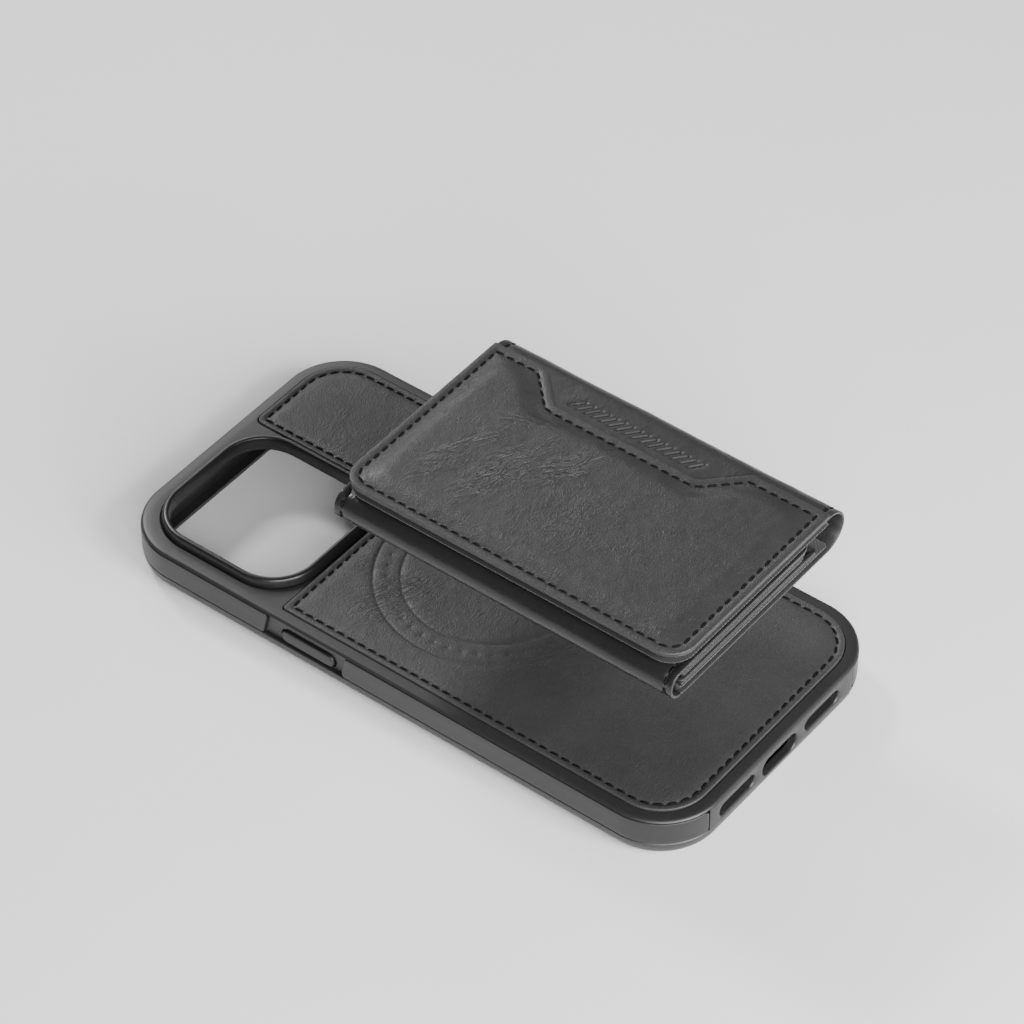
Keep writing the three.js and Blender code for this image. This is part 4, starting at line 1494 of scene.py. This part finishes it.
def card_pocket(name, node, body, face_down):
    """A leaf with a thumb notch in its mouth, on a welt along its other three sides."""
    low, high = box_mm(node)
    x0, y0, x1, y1 = *low[:2], *high[:2]
    leaf_thickness = 0.6
    notch_half, notch_depth = 8.5, 9.0
    corners = [(x0, y0, 1), (x1, y0, 1), (x1, y1, 1)]
    for side in (1, -1):
        mouth = (WALLET_MIDDLE + side * (notch_half + 1.5), y1, 1.5)
        foot = (WALLET_MIDDLE + side * 7, y1 - notch_depth, 6.5)
        corners += [mouth, foot][::side]
    corners += [(x0, y1, 1)]
    outline = rounded(corners, 0.7)
    inset = 1.1
    left, right = x0 + inset, x1 - inset
    seam = Seam([(right, y1 - 1), (right, y0 + inset), (left, y0 + inset), (left, y1 - 1)], 2.8)
    leaf = sheet(
        f"{name}_leaf",
        outline,
        leaf_thickness,
        facing(high[2] - leaf_thickness, low[2] + leaf_thickness, face_down),
        WALLET_LEATHER,
        edge=0.2,
        spacing=1.6,
        relief=lambda p, d: seam.dip(p, 0.08, 0.12) + 0.04 * value_noise(p, 8, 44),
        features=[seam.rows()],
        flip=face_down,
    )
    done(leaf, body, "wallet_leather", node)
    if face_down:
        thread = flipped_stitches(f"{name}_stitching", [seam], low[2])
    else:
        thread = stitches(f"{name}_stitching", [seam], flat_at(high[2] - THREAD_SINK))
    done(thread, body, "wallet_leather")
    welt = 1.7
    corners = [(x0, y0), (x1, y0), (x1, y1), (x1 - welt, y1), (x1 - welt, y0 + welt)]
    corners += [(x0 + welt, y0 + welt), (x0 + welt, y1), (x0, y1)]
    welt_outline = rounded([(x, y, 0.3) for x, y in corners], 1.0)
    rim = sheet(
        f"{name}_welt",
        welt_outline,
        high[2] - low[2] - leaf_thickness,
        facing(low[2], high[2], face_down),
        WALLET_LEATHER,
        edge=0.1,
        back_edge=0.08,
        flip=face_down,
    )
    done(rim, body, "wallet_leather")


back_cloth = lining_cloth("wallet_back_lining_cloth", "wallet_back_lining", "wallet", False)
inner_cloth = lining_cloth("inner_flap_lining_cloth", "inner_flap_lining", "inner_flap", True)
card_pocket("back_card_pocket", "wallet_back_pocket", "wallet", False)
card_pocket("inner_card_pocket", "inner_flap_pocket", "inner_flap", True)


# ---------------------------------------------------------------- materials of the hidden parts

HIDDEN = {
    "back_plate": PLATE,
    "case_magnet_ring": MAGNET,
    "case_alignment_magnet": MAGNET,
    "wallet_back_board": BOARD,
    "wallet_magnet_ring": MAGNET,
    "wallet_alignment_magnet": MAGNET,
    "inner_flap_board": BOARD,
    "inner_flap_closure_magnet_1": MAGNET,
    "inner_flap_closure_magnet_2": MAGNET,
    "outer_flap_board": BOARD,
    "outer_flap_closure_magnet_1": MAGNET,
    "outer_flap_closure_magnet_2": MAGNET,
}
for node, material in HIDDEN.items():
    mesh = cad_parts[node].data
    mesh.materials.clear()
    mesh.materials.append(material)

# ---------------------------------------------------------------- floor, lights and camera


def make_floor():
    bpy.ops.mesh.primitive_plane_add(size=6, location=(0, 0, -0.0002))
    floor = bpy.context.object
    floor.name = "studio_floor"
    look = Look("pale_floor", 0.65, coords="object")
    look.colour(look.noise(60.0, 2.0), grey(0.82), grey(0.86))
    floor.data.materials.append(look.material)
    floor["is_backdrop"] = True


def soft_light(name, direction, distance_m, size_m, watts, target=(0.01, 0.0, 0.02)):
    """A square soft box that faces the target from a direction (azimuth, elevation)."""
    azimuth, elevation = (math.radians(a) for a in direction)
    level = math.cos(elevation)
    away = Vector((level * math.cos(azimuth), level * math.sin(azimuth), math.sin(elevation)))
    data = bpy.data.lights.new(name, "AREA")
    data.size = size_m
    data.energy = watts
    lamp = bpy.data.objects.new(name, data)
    lamp.location = Vector(target) + away * distance_m
    lamp.rotation_mode = "QUATERNION"
    lamp.rotation_quaternion = (-away).to_track_quat("-Z", "Y")
    bpy.context.scene.collection.objects.link(lamp)


make_floor()
soft_light("key", (165, 40), 1.2, 0.22, 8)
soft_light("back_box", (138, 28), 1.3, 0.4, 3)
soft_light("right_fill", (-5, 30), 1.0, 0.5, 21)
soft_light("front_fill", (-45, 32), 1.3, 0.6, 17)

world = bpy.data.worlds.new("studio")
world.use_nodes = True
world.node_tree.nodes["Background"].inputs["Color"].default_value = (1, 1, 1, 1)
world.node_tree.nodes["Background"].inputs["Strength"].default_value = 0.12
bpy.context.scene.world = world

CAMERA_AZIMUTH, CAMERA_ELEVATION = 37.643, 44.059
CAMERA_TARGET = (-18.332, 30.29, -0.4)
CAMERA_DISTANCE = 1096.2
CAMERA_LENS = 160.24

camera_data = bpy.data.cameras.new("camera")
camera_data.sensor_width = 36
camera_data.lens = CAMERA_LENS
camera_data.clip_start = 0.05
camera_data.clip_end = 20
camera = bpy.data.objects.new("camera", camera_data)
turn, tilt = math.radians(CAMERA_AZIMUTH), math.radians(CAMERA_ELEVATION)
back = Vector((math.sin(turn) * math.cos(tilt), -math.cos(turn) * math.cos(tilt), math.sin(tilt)))
camera.location = (Vector(CAMERA_TARGET) + back * CAMERA_DISTANCE) * MM
camera.rotation_mode = "QUATERNION"
camera.rotation_quaternion = (-back).to_track_quat("-Z", "Y")
bpy.context.scene.collection.objects.link(camera)
bpy.context.scene.camera = camera

low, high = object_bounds()
